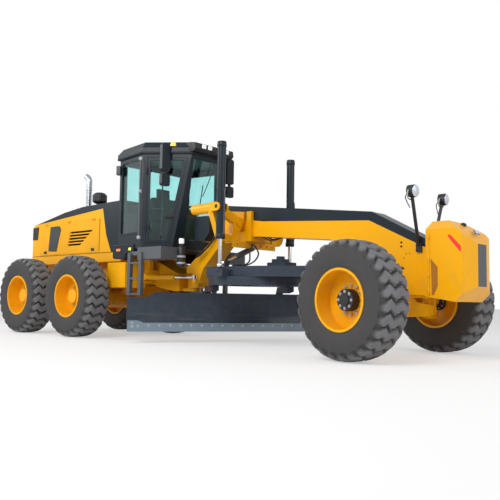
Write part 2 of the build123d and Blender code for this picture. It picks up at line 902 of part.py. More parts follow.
light_foot = (3715, beam_half + 25, 1330)
light_head = (3740, 400, 1930)
with BuildPart() as work_lights:
    for side, s in SIDES:
        foot = Vector(light_foot[0], s * light_foot[1], light_foot[2])
        head = Vector(light_head[0], s * light_head[1], light_head[2])
        with Locations((light_foot[0], s * (beam_half + seat_gap + 15), light_foot[2] - 20)):
            Box(70, 30, 110)
        with BuildSketch(Plane(origin=foot, z_dir=head - foot)):
            Circle(20)
        extrude(amount=(head - foot).length)
        with BuildSketch(Plane.YZ.offset(light_head[0] - 35)):
            with Locations((s * light_head[1], light_head[2] + 20)):
                Circle(70)
        extrude(amount=75)
write(work_lights.part, "work_lights")

# ---------------------------------------------------------------- front axle, leaning and steering
lean_y = 720
lean_z = 560
lean_pin_radius = 28
kingpin_y = 850
kingpin_radius = 28
yoke_low = 450
yoke_high = 810
yoke_arm = 40
boss_radius = 52
bar_x = 140  # lean bar, from the axle's middle
bar_z = 730
tie_x = -220
tie_z = 777
tie_ball_radius = 22
stud_radius = 15
arm_low = yoke_high + 5

with BuildPart() as front_axle:
    with BuildSketch(Plane.YZ.offset(front_axle_x - 80)):
        Polygon(
            (-630, 480),
            (630, 480),
            (630, 630),
            (260, 660),
            (150, 735),
            (-150, 735),
            (-260, 660),
            (-630, 630),
            align=None,
        )
    extrude(amount=160)
    # oscillation pin and its clearance slots for the bolster's ears
    for x in (bolster_rear + 20, front_axle_x + 90):
        with Locations((x, 0, 690)):
            Box(44, 176, 200, mode=Mode.SUBTRACT)
    with BuildSketch(Plane.YZ.offset(front_axle_x - 115)):
        with Locations((0, oscillation_z)):
            Circle(oscillation_radius)
    extrude(amount=230)
    for side, s in SIDES:
        for x in (-72.5, 72.5):
            with BuildSketch(Plane.YZ.offset(front_axle_x + x - 12.5)):
                with Locations((s * lean_y, lean_z)):
                    Circle(62)
                with Locations((s * (lean_y - 60), lean_z)):
                    Rectangle(120, 124)
            extrude(amount=25)
        with BuildSketch(Plane.YZ.offset(front_axle_x - 100)):
            with Locations((s * lean_y, lean_z)):
                Circle(lean_pin_radius)
        extrude(amount=200)
write(front_axle.part, "front_axle")

for side, s in SIDES:
    with BuildPart() as lean_yoke:
        with BuildSketch(Plane.YZ.offset(front_axle_x - 45)):
            with Locations((s * 720, (yoke_low + yoke_high) / 2)):
                Rectangle(110, yoke_high - yoke_low)
            for z in (yoke_low + yoke_arm / 2, yoke_high - yoke_arm / 2):
                with Locations((s * 810, z)):
                    Rectangle(190, yoke_arm)
            with Locations((s * lean_y, lean_z)):
                Circle(58)
                Circle(lean_pin_radius + run, mode=Mode.SUBTRACT)
        extrude(amount=90)
        with Locations((front_axle_x, s * kingpin_y, (yoke_low + yoke_high) / 2)):
            Cylinder(kingpin_radius + run, 500, mode=Mode.SUBTRACT)
        # pin for the lean bar
        with BuildSketch(Plane.YZ.offset(front_axle_x)):
            with Locations((s * lean_y, bar_z)):
                Circle(stud_radius)
        extrude(amount=bar_x + 20)
    write(lean_yoke.part, f"lean_yoke_{side}")

with BuildPart() as lean_bar:
    with BuildSketch(Plane.YZ.offset(front_axle_x + bar_x - 15)):
        Rectangle(2 * lean_y, 30)
        for side, s in SIDES:
            with Locations((s * lean_y, 0)):
                Circle(30)
                Circle(stud_radius + run, mode=Mode.SUBTRACT)
    extrude(amount=30)
lean_bar_part = lean_bar.part.moved(Location((0, 0, bar_z)))
write(lean_bar_part, "lean_bar")


def steered(s):
    """A plane at ground level through a kingpin, turned with the stored steering."""
    turn = radians(steer_at_rest)
    return Plane(origin=(front_axle_x, s * kingpin_y, 0), x_dir=(cos(turn), sin(turn), 0), z_dir=(0, 0, 1))


def tie_joint(s):
    """Where a steering arm meets the tie rod, as stored."""
    return steered(s).from_local_coords(Vector(tie_x, 0, tie_z))


spindle_reach = wheel_y - kingpin_y + disc_offset + hub_length - 60 - 32
for side, s in SIDES:
    base = steered(s)
    outward = base.y_dir * s
    spindle = Plane(
        origin=base.from_local_coords(Vector(0, 0, tyre_radius)), x_dir=base.x_dir, z_dir=outward
    )
    with BuildPart() as knuckle:
        with BuildSketch(base.offset(yoke_low)):
            Circle(kingpin_radius)
        extrude(amount=arm_low + 5 - yoke_low)
        with BuildSketch(base.offset(yoke_low + yoke_arm + 5)):
            Circle(boss_radius)
        extrude(amount=yoke_high - yoke_low - 2 * yoke_arm - 10)
        with BuildSketch(spindle):
            Circle(spindle_radius)
        extrude(amount=spindle_reach)
        # steering arm, with a stud on the left and a ball on the right under its end
        with BuildSketch(base.offset(arm_low)):
            Circle(42)
            with Locations((tie_x, 0)):
                Circle(26)
            make_hull()
        extrude(amount=22)
        with BuildSketch(base.offset(tie_z - (25 if s > 0 else 0))):
            with Locations((tie_x, 0)):
                Circle(stud_radius)
        extrude(amount=arm_low + 5 - tie_z + (25 if s > 0 else 0))
        if s < 0:
            with Locations(tie_joint(s)):
                Sphere(tie_ball_radius)
    write(knuckle.part, f"knuckle_{side}")
    centre = base.from_local_coords(Vector(0, s * (wheel_y - kingpin_y), tyre_radius))
    write(build_tyre(wheel_plane(centre, outward)), f"front_tyre_{side}")
    write(build_rim(wheel_plane(centre, outward), spindle_radius), f"front_rim_{side}")

# swivel end on the left stud, with side pins that carry the tie rod's fork
swivel_radius = 30
fork_gap = 3
fork_plate = 14
fork_pin = 12
left_joint = tie_joint(1)
right_joint = tie_joint(-1)
with BuildPart() as tie_end:
    with Locations(left_joint):
        Cylinder(swivel_radius, 36)
    with BuildSketch(Plane.YZ.offset(left_joint.X - swivel_radius - fork_gap - fork_plate)):
        with Locations((left_joint.Y, tie_z)):
            Circle(fork_pin)
    extrude(amount=2 * (swivel_radius + fork_gap + fork_plate))
    with Locations(left_joint):
        Cylinder(stud_radius + run, 100, mode=Mode.SUBTRACT)
write(tie_end.part, "tie_end")

tie_tube_radius = 20
with BuildPart() as tie_rod:
    for side in (-1, 1):
        x = left_joint.X + side * (swivel_radius + fork_gap + fork_plate / 2)
        with BuildSketch(Plane.YZ.offset(x - fork_plate / 2)):
            with Locations((left_joint.Y, tie_z)):
                Circle(20)
            with Locations((left_joint.Y - 35, tie_z)):
                Rectangle(70, 40)
            with Locations((left_joint.Y, tie_z)):
                Circle(fork_pin + run, mode=Mode.SUBTRACT)
        extrude(amount=fork_plate)
    with Locations((left_joint.X, left_joint.Y - 60, tie_z)):
        Box(2 * (swivel_radius + fork_gap + fork_plate), 22, 40)
    with BuildSketch(side_plane(right_joint.Y + 50)):
        with Locations((-left_joint.X, tie_z)):
            Circle(tie_tube_radius)
    extrude(amount=left_joint.Y - right_joint.Y - 110)
    # cupped plate under the right-hand ball
    with Locations((right_joint.X, right_joint.Y + 60, tie_z - 15)):
        Box(60, 40, 70)
    with Locations((right_joint.X, right_joint.Y + 10, tie_z - tie_ball_radius - 14)):
        Box(60, 100, 22)
write(tie_rod.part, "tie_rod")

# ---------------------------------------------------------------- lift saddle and cylinders
trunnion = (1010, 780, 1950)
shift_top = (880, 120, 1460)
shift_eye = (880, -560, 1180)
lift_ball = (1010, 780, 1130)
lift_ball_radius = 40
lift_ball_gap = 2.5  # the ball rides this far above its pad
barrel_radius = 62
rod_radius = 28
trunnion_radius = 28
cheek = 24

saddle_out = 215
link_holes = 7
with BuildPart() as lift_saddle:
    for side, s in SIDES:
        # plate on the beam's side, with a strap ahead of it
        with BuildSketch(side_plane(s * (beam_half + seat_gap))):
            outline(
                [
                    (612, 1980),
                    (935, 1950),
                    (925, 1800),
                    (850, 1660),
                    (1075, 1660),
                    (1075, 1508),
                    (560, 1508),
                    (560, 1640),
                    (650, 1700),
                    (615, 1830),
                ]
            )
            outline([(985, 1600), (1075, 1600), (1075, 1950), (985, 1950)])
        extrude(amount=s * (saddle_out - beam_half - seat_gap))
        # bellcrank arm from the beam's side out to the cylinder
        with BuildSketch(Plane.YZ.offset(825)):
            Polygon(
                (s * 862, 1925),
                (s * 700, 1540),
                (s * 640, 1494),
                (s * 400, 1494),
                (s * 210, 1740),
                (s * 210, 1840),
                (s * 285, 1863),
                (s * 760, 2033),
                align=None,
            )
            with Locations((s * trunnion[1], trunnion[2])):
                Circle(86)
            Polygon(
                (s * 400, 1770),
                (s * 610, 1850),
                (s * 650, 1740),
                (s * 610, 1600),
                (s * 450, 1580),
                align=None,
                mode=Mode.SUBTRACT,
            )
        extrude(amount=90)
        with BuildSketch(Plane.YZ.offset(805)):
            with Locations((s * 300, 1790)):
                Circle(62)
        extrude(amount=130)
        # foot of the arm, over the link bar
        with Locations((940, s * 430, 1530)):
            Box(70, 90, 72)
        # long pivot tube
        with BuildSketch(Plane.YZ.offset(469)):
            with Locations((s * trunnion[1], trunnion[2])):
                Circle(74)
        extrude(amount=825 - 469)
        # fork round the cylinder
        with Locations((trunnion[0] - barrel_radius - 40, s * trunnion[1], trunnion[2])):
            Box(40, 2 * (barrel_radius + 10 + cheek), 120)
        for y in (-(barrel_radius + 10 + cheek / 2), barrel_radius + 10 + cheek / 2):
            with BuildSketch(side_plane(s * trunnion[1] + y - cheek / 2)):
                with Locations((-trunnion[0], trunnion[2])):
                    Circle(60)
                with Locations((-trunnion[0] + 60, trunnion[2])):
                    Rectangle(120, 120)
                with Locations((-trunnion[0], trunnion[2])):
                    Circle(trunnion_radius + run, mode=Mode.SUBTRACT)
            extrude(amount=cheek)
    # plate under the beam and the link bar with its row of lock holes
    with Locations((887.5, 0, 1544)):
        Box(375, 2 * saddle_out, 72)
    with BuildSketch(Plane.YZ.offset(945)):
        with Locations((0, 1460)):
            Rectangle(930, 100)
            with GridLocations(900 / link_holes, 1, link_holes, 1):
                Circle(15, mode=Mode.SUBTRACT)
    extrude(amount=30)
    # ears and pin for the side-shift cylinder
    for x in (-45, 45):
        with BuildSketch(Plane.YZ.offset(shift_top[0] + x - 12.5)):
            with Locations((shift_top[1], shift_top[2])):
                Circle(38)
            with Locations((shift_top[1], shift_top[2] + 30)):
                Rectangle(76, 60)
        extrude(amount=25)
    with BuildSketch(Plane.YZ.offset(shift_top[0] - 55)):
        with Locations((shift_top[1], shift_top[2])):
            Circle(18)
    extrude(amount=110)
write(lift_saddle.part, "lift_saddle")


def cylinder_plane(at, towards):
    """A sketch plane at a point, facing another."""
    at, towards = Vector(*at), Vector(*towards)
    return Plane(origin=at, z_dir=towards - at)


for side, s in SIDES:
    top = (trunnion[0], s * trunnion[1], trunnion[2])
    ball = (lift_ball[0], s * lift_ball[1], lift_ball[2])
    reach = (Vector(*ball) - Vector(*top)).length
    with BuildPart() as lift_barrel:
        with BuildSketch(cylinder_plane(top, ball).offset(-930)):
            Circle(barrel_radius)
        extrude(amount=930 + 445)
        with BuildSketch(cylinder_plane(top, ball).offset(-900)):
            Circle(rod_radius + run)
        extrude(amount=900 + 460, mode=Mode.SUBTRACT)
        with BuildSketch(side_plane(s * trunnion[1] - barrel_radius - 10 - cheek)):
            with Locations((-trunnion[0], trunnion[2])):
                Circle(trunnion_radius)
        extrude(amount=2 * (barrel_radius + 10 + cheek))
        with BuildSketch(cylinder_plane(top, ball).offset(-900)):
            Circle(rod_radius + run)
        extrude(amount=900 + 460, mode=Mode.SUBTRACT)
    write(lift_barrel.part, f"lift_barrel_{side}")
    with BuildPart() as lift_rod:
        with BuildSketch(cylinder_plane(ball, top)):
            Circle(rod_radius)
        extrude(amount=900)
        with Locations(ball):
            Sphere(lift_ball_radius)
    write(lift_rod.part, f"lift_rod_{side}")

# drawbar side-shift cylinder
with BuildPart() as shift_barrel:
    with BuildSketch(cylinder_plane(shift_top, shift_eye)):
        Circle(24)
    extrude(amount=60)
    with BuildSketch(cylinder_plane(shift_top, shift_eye).offset(55)):
        Circle(42)
    extrude(amount=395)
    with Locations(shift_top):
        with BuildSketch(Plane.YZ.offset(shift_top[0] - 25)):
            with Locations((shift_top[1], shift_top[2])):
                Circle(40)
    extrude(amount=50)
    with BuildSketch(Plane.YZ.offset(shift_top[0] - 30)):
        with Locations((shift_top[1], shift_top[2])):
            Circle(18 + run)
    extrude(amount=60, mode=Mode.SUBTRACT)
    with BuildSketch(cylinder_plane(shift_top, shift_eye).offset(60)):
        Circle(20 + run)
    extrude(amount=400, mode=Mode.SUBTRACT)
write(shift_barrel.part, "shift_barrel")
with BuildPart() as shift_rod:
    with BuildSketch(cylinder_plane(shift_eye, shift_top)):
        Circle(20)
    extrude(amount=520)
    with BuildSketch(Plane.YZ.offset(shift_eye[0] - 25)):
        with Locations((shift_eye[1], shift_eye[2])):
            Circle(36)
    extrude(amount=50)
write(shift_rod.part, "shift_rod")

# ---------------------------------------------------------------- drawbar
drawbar_low = 979
drawbar_top = 1124
ring_low = 864
ring_high = drawbar_low - seat_gap
gear_module = 16
gear_teeth = 72
pinion_teeth = 14
gear_pitch = gear_module * gear_teeth / 2
pinion_pitch = gear_module * pinion_teeth / 2
pinion_x = circle_x + gear_pitch - pinion_pitch
pinion_shaft = 40
backlash = 1.2  # taken off each flank
pressure = radians(20)


def flank(radius, pitch, half_width):
    """Half angle of an involute tooth at a radius, from its half width on the pitch circle."""
    base = pitch * cos(pressure)
    slope = acos(min(1, base / radius))
    return half_width / pitch + tan(pressure) - pressure - tan(slope) + slope


def toothed(teeth, pitch, half_width, radii):
    """Corners of a closed toothed outline, a tooth pointing along +x."""
    points = []
    for tooth in range(teeth):
        middle = 2 * pi * tooth / teeth
        rise = [(radius, middle - flank(radius, pitch, half_width)) for radius in radii]
        fall = [(radius, middle + flank(radius, pitch, half_width)) for radius in reversed(radii)]
        points += [(radius * cos(angle), radius * sin(angle)) for radius, angle in rise + fall]
    return points


with BuildPart() as drawbar:
    with BuildSketch(Plane.XY.offset(drawbar_low)):
        with BuildLine():
            Polyline(
                (ball_x - 40, -85),
                (2300, -190),
                (1560, -560),
                (1150, -640),
                (600, -640),
                (420, -420),
                (420, 420),
                (600, 640),
                (1150, 640),
                (1560, 560),
                (2300, 190),
                (ball_x - 40, 85),
                close=True,
            )
        make_face()
        with BuildLine():
            Polyline((2200, -60), (1720, -300), (1720, 300), (2200, 60), close=True)
        make_face(mode=Mode.SUBTRACT)
        with Locations((circle_x, 0)):
            Circle(330, mode=Mode.SUBTRACT)
    extrude(amount=drawbar_top - drawbar_low)
    # socket round the ball
    with Locations((ball_x, 0, ball_z)):
        Cylinder(ball_radius + 32, 2 * 62, rotation=(90, 0, 0))
    with BuildSketch(side_plane(-60)):
        with Locations((-(ball_x + 90), ball_z)):
            Rectangle(180, 2 * ball_stud_radius + 60)
    extrude(amount=120, mode=Mode.SUBTRACT)
    with Locations((ball_x, 0, ball_z)):
        Sphere(ball_radius + run, mode=Mode.SUBTRACT)
    for side, s in SIDES:
        # outriggers with the pads under the lift cylinders' balls
        with Locations((lift_ball[0], s * 700, drawbar_low + 48)):
            Box(180, 240, 96)
        with Locations((lift_ball[0], s * lift_ball[1], lift_ball[2] - lift_ball_radius - lift_ball_gap)):
            Cylinder(56, 40, align=(Align.CENTER, Align.CENTER, Align.MAX))
    # lug beside the side-shift rod's eye
    with BuildSketch(Plane.YZ.offset(shift_eye[0] + 35)):
        with Locations((shift_eye[1], shift_eye[2])):
            Circle(42)
        with Locations((shift_eye[1], shift_eye[2] - 35)):
            Rectangle(84, 70)
    extrude(amount=24)
    # gearbox of the circle drive, over the pinion's bore
    with BuildSketch(Plane.XY.offset(drawbar_top)):
        with Locations((pinion_x, 0)):
            RectangleRounded(360, 280, 45)
    extrude(amount=70)
    with BuildSketch(Plane.XY.offset(drawbar_top + 70)):
        with Locations((pinion_x - 20, 0)):
            RectangleRounded(210, 190, 35)
    extrude(amount=50)
    with BuildSketch(Plane.XY.offset(drawbar_top + 120)):
        with Locations((pinion_x - 20, 0)):
            Circle(60)
    extrude(amount=40)
    with BuildSketch(Plane.XY.offset(drawbar_low - 5)):
        with Locations((pinion_x, 0)):
            Circle(pinion_shaft + run)
    extrude(amount=drawbar_top - drawbar_low - 15, mode=Mode.SUBTRACT)
write(drawbar.part, "drawbar")

# ---------------------------------------------------------------- circle and blade
# Drawn in the blade's own frame: u forward of the circle's middle, v along the blade, turned together.
turn = radians(circle_at_rest)
blade_frame = Plane(origin=(circle_x, 0, 0), x_dir=(cos(turn), sin(turn), 0), z_dir=(0, 0, 1))


def blade_plane(v):
    """Like side_plane, in the blade's frame."""
    return Plane(
        origin=blade_frame.from_local_coords(Vector(0, v, 0)),
        x_dir=-blade_frame.x_dir,
        z_dir=blade_frame.y_dir,
    )


ring_outer = 720
ring_inner = 610
leg_in = 540
leg_out = 640
tip_u = -655
tip_z = 385
tip_pin_radius = 30
with BuildPart() as circle:
    with BuildSketch(Plane.XY.offset(ring_low)):
        with Locations((circle_x, 0)):
            Circle(ring_outer)
            Circle(ring_inner, mode=Mode.SUBTRACT)
    extrude(amount=ring_high - ring_low)
    for side, s in SIDES:
        with BuildSketch(blade_plane(s * leg_in)):
            outline(
                [
                    (-150, ring_low),
                    (-150, 790),
                    (-330, 766),
                    (tip_u + 15, 766),
                    (tip_u + 15, 620),
                    (tip_u + 60, tip_z + 20),
                    (tip_u - 60, tip_z + 20),
                    (tip_u - 60, 740),
                    (tip_u + 15, ring_low),
                ]
            )
            with Locations((-tip_u, tip_z)):
                Circle(60)
                Circle(tip_pin_radius + run, mode=Mode.SUBTRACT)
        extrude(amount=s * (leg_out - leg_in))
write(circle.part, "circle")

# the circle's internal teeth, each space the shape of a tooth, and the pinion that drives them
gear_low = ring_low + 6
gear_width = 75
space = gear_module * pi / 4 + backlash
tooth = gear_module * pi / 4 - backlash
with BuildPart() as ring_gear:
    with BuildSketch(Plane.XY.offset(gear_low)):
        with Locations((circle_x, 0)):
            Circle(ring_inner - seat_gap)
            Polygon(
                *toothed(gear_teeth, gear_pitch, space, (gear_pitch - 13, gear_pitch, gear_pitch + 16)),
                align=None,
                mode=Mode.SUBTRACT,
            )
    extrude(amount=gear_width)
write(ring_gear.part, "ring_gear")

with BuildPart() as circle_pinion:
    with BuildSketch(Plane.XY.offset(gear_low + 2)):
        with Locations((pinion_x, 0)):
            Polygon(
                *toothed(
                    pinion_teeth,
                    pinion_pitch,
                    tooth,
                    (pinion_pitch - 17, pinion_pitch - 6, pinion_pitch, pinion_pitch + 13),
                ),
                align=None,
            )
    extrude(amount=gear_width - 4)
    with BuildSketch(Plane.XY.offset(gear_low + 2)):
        with Locations((pinion_x, 0)):
            Circle(pinion_shaft)
    extrude(amount=drawbar_top - 25 - gear_low - 2)
write(circle_pinion.part, "circle_pinion")

blade_half = blade_length / 2
blade_thickness = 20
face_low = (-462, 200)
face_mid = (-548, 480)
face_high = (-465, 750)
rail_u = -600  # rearmost face of the rails
rails = ((280, 95), (655, 75))  # height and depth of each
rail_height = 40
shoe_gap = 1
hook_low = rails[0][0] - rail_height / 2 - shoe_gap - 20
hook_high = rails[1][0] + rail_height / 2 + shoe_gap

carrier_out = leg_in - 6
shoe_u = rail_u - shoe_gap
with BuildPart() as blade_carrier:
    for side, s in SIDES:
        with BuildSketch(blade_plane(s * (carrier_out - 90))):
            outline([(-700, hook_low), (shoe_u, hook_low), (shoe_u, hook_high + 20), (-700, hook_high + 20)])
        extrude(amount=s * 90)
        # hooks above the upper rail and below the lower one
        for z in (hook_high, hook_low):
            with BuildSketch(blade_plane(s * (carrier_out - 90))):
                outline([(-680, z), (rail_u + 40, z), (rail_u + 40, z + 20), (-680, z + 20)])
            extrude(amount=s * 90)
        with BuildSketch(blade_plane(s * (carrier_out - 10))):
            with Locations((-tip_u, tip_z)):
                Circle(tip_pin_radius)
        extrude(amount=s * (leg_out - carrier_out + 10))
    with BuildSketch(blade_plane(-carrier_out + 20)):
        with Locations((655, 470)):
            Circle(38)
    extrude(amount=2 * (carrier_out - 20))
write(blade_carrier.part, "blade_carrier")

with BuildPart() as moldboard:
    with BuildSketch(blade_plane(-blade_half)):
        with BuildLine():
            front = ThreePointArc(*[(-u, z) for u, z in (face_low, face_mid, face_high)])
            back = ThreePointArc(*[(-u + blade_thickness, z) for u, z in (face_low, face_mid, face_high)])
            Line(front @ 0, back @ 0)
            Line(front @ 1, back @ 1)
        make_face()
    extrude(amount=2 * blade_half)
    # corners cut at the ends
    for s in (1, -1):
        behind = blade_frame.from_local_coords(Vector(-700, 0, 0))
        with BuildSketch(Plane(origin=behind, x_dir=blade_frame.y_dir, z_dir=blade_frame.x_dir)):
            Polygon(
                (s * (blade_half - 420), 760),
                (s * (blade_half + 10), 760),
                (s * (blade_half + 10), 675),
                (s * (blade_half - 265), 675),
                align=None,
            )
        extrude(amount=400, mode=Mode.SUBTRACT)
    for z, depth in rails:
        with BuildSketch(blade_plane(-1400)):
            with Locations((-rail_u - depth / 2, z)):
                Rectangle(depth, rail_height)
        extrude(amount=2800)
write(moldboard.part, "moldboard")

with BuildPart() as cutting_edge:
    with BuildSketch(blade_plane(-blade_half)):
        outline([(-461.7, 170), (-443, 170), (-443, 300), (-461.7, 300)])
    extrude(amount=2 * blade_half)
write(cutting_edge.part, "cutting_edge")

# ---------------------------------------------------------------- articulation cylinders
steer_rear = (hinge_x - 700, 450, 1000)
steer_front = (hinge_x + 260, 250, 1000)
steer_eye = 48
steer_barrel = 45
steer_rod = 24
for side, s in SIDES:
    rear_eye = (steer_rear[0], s * steer_rear[1], steer_rear[2])
    front_eye = (steer_front[0], s * steer_front[1], steer_front[2])
    length = (Vector(*front_eye) - Vector(*rear_eye)).length
    with BuildPart() as turn_barrel:
        with BuildSketch(cylinder_plane(rear_eye, front_eye)):
            Circle(steer_barrel)
        extrude(amount=600)
        with Locations(rear_eye):
            Cylinder(steer_eye, 2 * steer_barrel)
            Cylinder(24 + run, 200, mode=Mode.SUBTRACT)
        with BuildSketch(cylinder_plane(rear_eye, front_eye).offset(80)):
            Circle(steer_rod + run)
        extrude(amount=600, mode=Mode.SUBTRACT)
    write(turn_barrel.part, f"turn_barrel_{side}")
    with BuildPart() as turn_rod:
        with BuildSketch(cylinder_plane(front_eye, rear_eye)):
            Circle(steer_rod)
        extrude(amount=520)
        with Locations(front_eye):
            Cylinder(42, 2 * steer_rod)
            with Locations((0, 0, -steer_rod)):
                Cylinder(24, steer_front[2] - steer_rod - 952.3, align=(Align.CENTER, Align.CENTER, Align.MAX))
    write(turn_rod.part, f"turn_rod_{side}")

# ---------------------------------------------------------------- write, with the origin under the middle of the box
boxes = [part.bounding_box() for part in pieces.values()]
middle_x = (min(box.min.X for box in boxes) + max(box.max.X for box in boxes)) / 2
middle_y = (min(box.min.Y for box in boxes) + max(box.max.Y for box in boxes)) / 2
low_z = min(box.min.Z for box in boxes)
for name, part in pieces.items():
    placed = part.moved(Location((-middle_x, -middle_y, -low_z)))
    placed.label = name
    export_step(placed, f"parts/{name}.step")
print("box middle", round(middle_x, 3), round(middle_y, 3), "lowest", round(low_z, 3))
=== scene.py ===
"""Finishes and fine pieces of a motor grader: paint, glass, tyres, lamps, hoses and trim on its frame."""

import json
from math import cos, pi, radians, sin

import bpy
import numpy as np
from mathutils import Matrix, Vector


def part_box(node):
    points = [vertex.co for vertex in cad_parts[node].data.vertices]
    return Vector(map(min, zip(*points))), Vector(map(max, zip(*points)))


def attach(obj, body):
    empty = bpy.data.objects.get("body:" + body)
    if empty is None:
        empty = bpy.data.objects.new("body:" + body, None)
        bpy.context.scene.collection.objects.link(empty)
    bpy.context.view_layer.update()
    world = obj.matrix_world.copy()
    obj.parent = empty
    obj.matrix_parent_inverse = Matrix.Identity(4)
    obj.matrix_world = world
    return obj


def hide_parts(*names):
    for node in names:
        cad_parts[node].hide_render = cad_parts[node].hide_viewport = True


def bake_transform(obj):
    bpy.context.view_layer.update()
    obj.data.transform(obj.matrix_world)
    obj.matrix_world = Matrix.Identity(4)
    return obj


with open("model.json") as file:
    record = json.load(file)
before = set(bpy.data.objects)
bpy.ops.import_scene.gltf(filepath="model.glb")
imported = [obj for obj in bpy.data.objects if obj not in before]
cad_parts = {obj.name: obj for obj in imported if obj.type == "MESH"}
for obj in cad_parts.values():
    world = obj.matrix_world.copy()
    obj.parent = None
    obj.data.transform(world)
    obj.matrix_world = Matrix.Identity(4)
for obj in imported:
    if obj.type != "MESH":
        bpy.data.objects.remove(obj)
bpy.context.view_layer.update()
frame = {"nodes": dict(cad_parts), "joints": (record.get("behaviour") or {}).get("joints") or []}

bl_info = {
    "name": "Motor grader",
    "version": (1, 0, 0),
    "blender": (4, 5, 0),
    "location": "3D View > Sidebar > Grader",
    "description": "Dresses a motor grader's frame with its finishes and fine pieces",
    "category": "Object",
}

# The machine's middle plane: shapes are worked out about it and moved there when they are finished.
middle = (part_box("rear_bumper")[0].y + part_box("rear_bumper")[1].y) / 2
SIDES = (("left", 1), ("right", -1))
joints = {joint["name"]: joint for joint in frame["joints"]}


# ---------------------------------------------------------------- sizes and colours
class GraderTyres(bpy.types.PropertyGroup):
    """Sizes of the tyres and their tread."""

    radius: bpy.props.FloatProperty(
        name="Radius", description="Outside radius", default=0.675, unit="LENGTH"
    )
    width: bpy.props.FloatProperty(
        name="Width", description="Section width", default=0.445, unit="LENGTH"
    )
    lugs: bpy.props.IntProperty(name="Lugs", description="Lugs round the tread", default=27, min=8)
    depth: bpy.props.FloatProperty(
        name="Tread depth", description="Depth of the grooves", default=0.032, unit="LENGTH"
    )


class GraderColours(bpy.types.PropertyGroup):
    """Colours of the paint and trim."""

    body: bpy.props.FloatVectorProperty(
        name="Body", description="Body paint", default=(0.93, 0.43, 0.002), subtype="COLOR"
    )
    dark: bpy.props.FloatVectorProperty(
        name="Dark", description="Charcoal paint", default=(0.013, 0.022, 0.03), subtype="COLOR"
    )
    blade: bpy.props.FloatVectorProperty(
        name="Blade",
        description="Paint of the blade and drawbar",
        default=(0.035, 0.047, 0.068),
        subtype="COLOR",
    )
    rubber: bpy.props.FloatVectorProperty(
        name="Rubber", description="Tyre rubber", default=(0.045, 0.044, 0.047), subtype="COLOR"
    )
    glass: bpy.props.FloatVectorProperty(
        name="Glass", description="Tint of the glass", default=(0.55, 0.83, 0.82), subtype="COLOR"
    )


class GraderStage(bpy.types.PropertyGroup):
    """Camera and light."""

    camera_place: bpy.props.FloatVectorProperty(
        name="Camera",
        description="Where the camera stands",
        default=(7.272, -7.098, 0.67),
        subtype="TRANSLATION",
    )
    yaw: bpy.props.FloatProperty(
        name="Yaw", description="Direction of view from +X", default=radians(132.05), subtype="ANGLE"
    )
    pitch: bpy.props.FloatProperty(
        name="Pitch", description="View above the horizon", default=radians(4.38), subtype="ANGLE"
    )
    roll: bpy.props.FloatProperty(
        name="Roll", description="Turn about the view", default=radians(-0.88), subtype="ANGLE"
    )
    lens: bpy.props.FloatProperty(name="Lens", description="Focal length in millimetres", default=46.04)


# ---------------------------------------------------------------- shader maths
class Signal:
    """A shader socket that can be added, multiplied and compared like a number."""

    def __init__(self, tree, socket):
        self.tree = tree
        self.socket = socket

    def maths(self, operation, first, second):
        return build_node(self.tree, "ShaderNodeMath", {"operation": operation}, {0: first, 1: second})

    def __add__(self, other):
        return self.maths("ADD", self, other)

    def __radd__(self, other):
        return self.maths("ADD", other, self)

    def __sub__(self, other):
        return self.maths("SUBTRACT", self, other)

    def __rsub__(self, other):
        return self.maths("SUBTRACT", other, self)

    def __mul__(self, other):
        return self.maths("MULTIPLY", self, other)

    def __rmul__(self, other):
        return self.maths("MULTIPLY", other, self)

    def __truediv__(self, other):
        return self.maths("DIVIDE", self, other)

    def __gt__(self, other):
        return self.maths("GREATER_THAN", self, other)

    def __lt__(self, other):
        return self.maths("LESS_THAN", self, other)

    def __abs__(self):
        return self.maths("ABSOLUTE", self, 0.0)

    def ramp(self, low, high):
        """0 below low, 1 above high, a straight line between."""
        values = {"Value": self, "From Min": low, "From Max": high}
        return build_node(self.tree, "ShaderNodeMapRange", {"clamp": True}, values)


def build_node(tree, kind, settings, values, output=0):
    """One node: its settings are set first, then each socket gets a number, a colour or a link."""
    made = tree.nodes.new(kind)
    for setting, value in settings.items():
        setattr(made, setting, value)
    for key, value in values.items():
        if isinstance(value, Signal):
            tree.links.new(value.socket, made.inputs[key])
        else:
            made.inputs[key].default_value = value
    return Signal(tree, made.outputs[output])


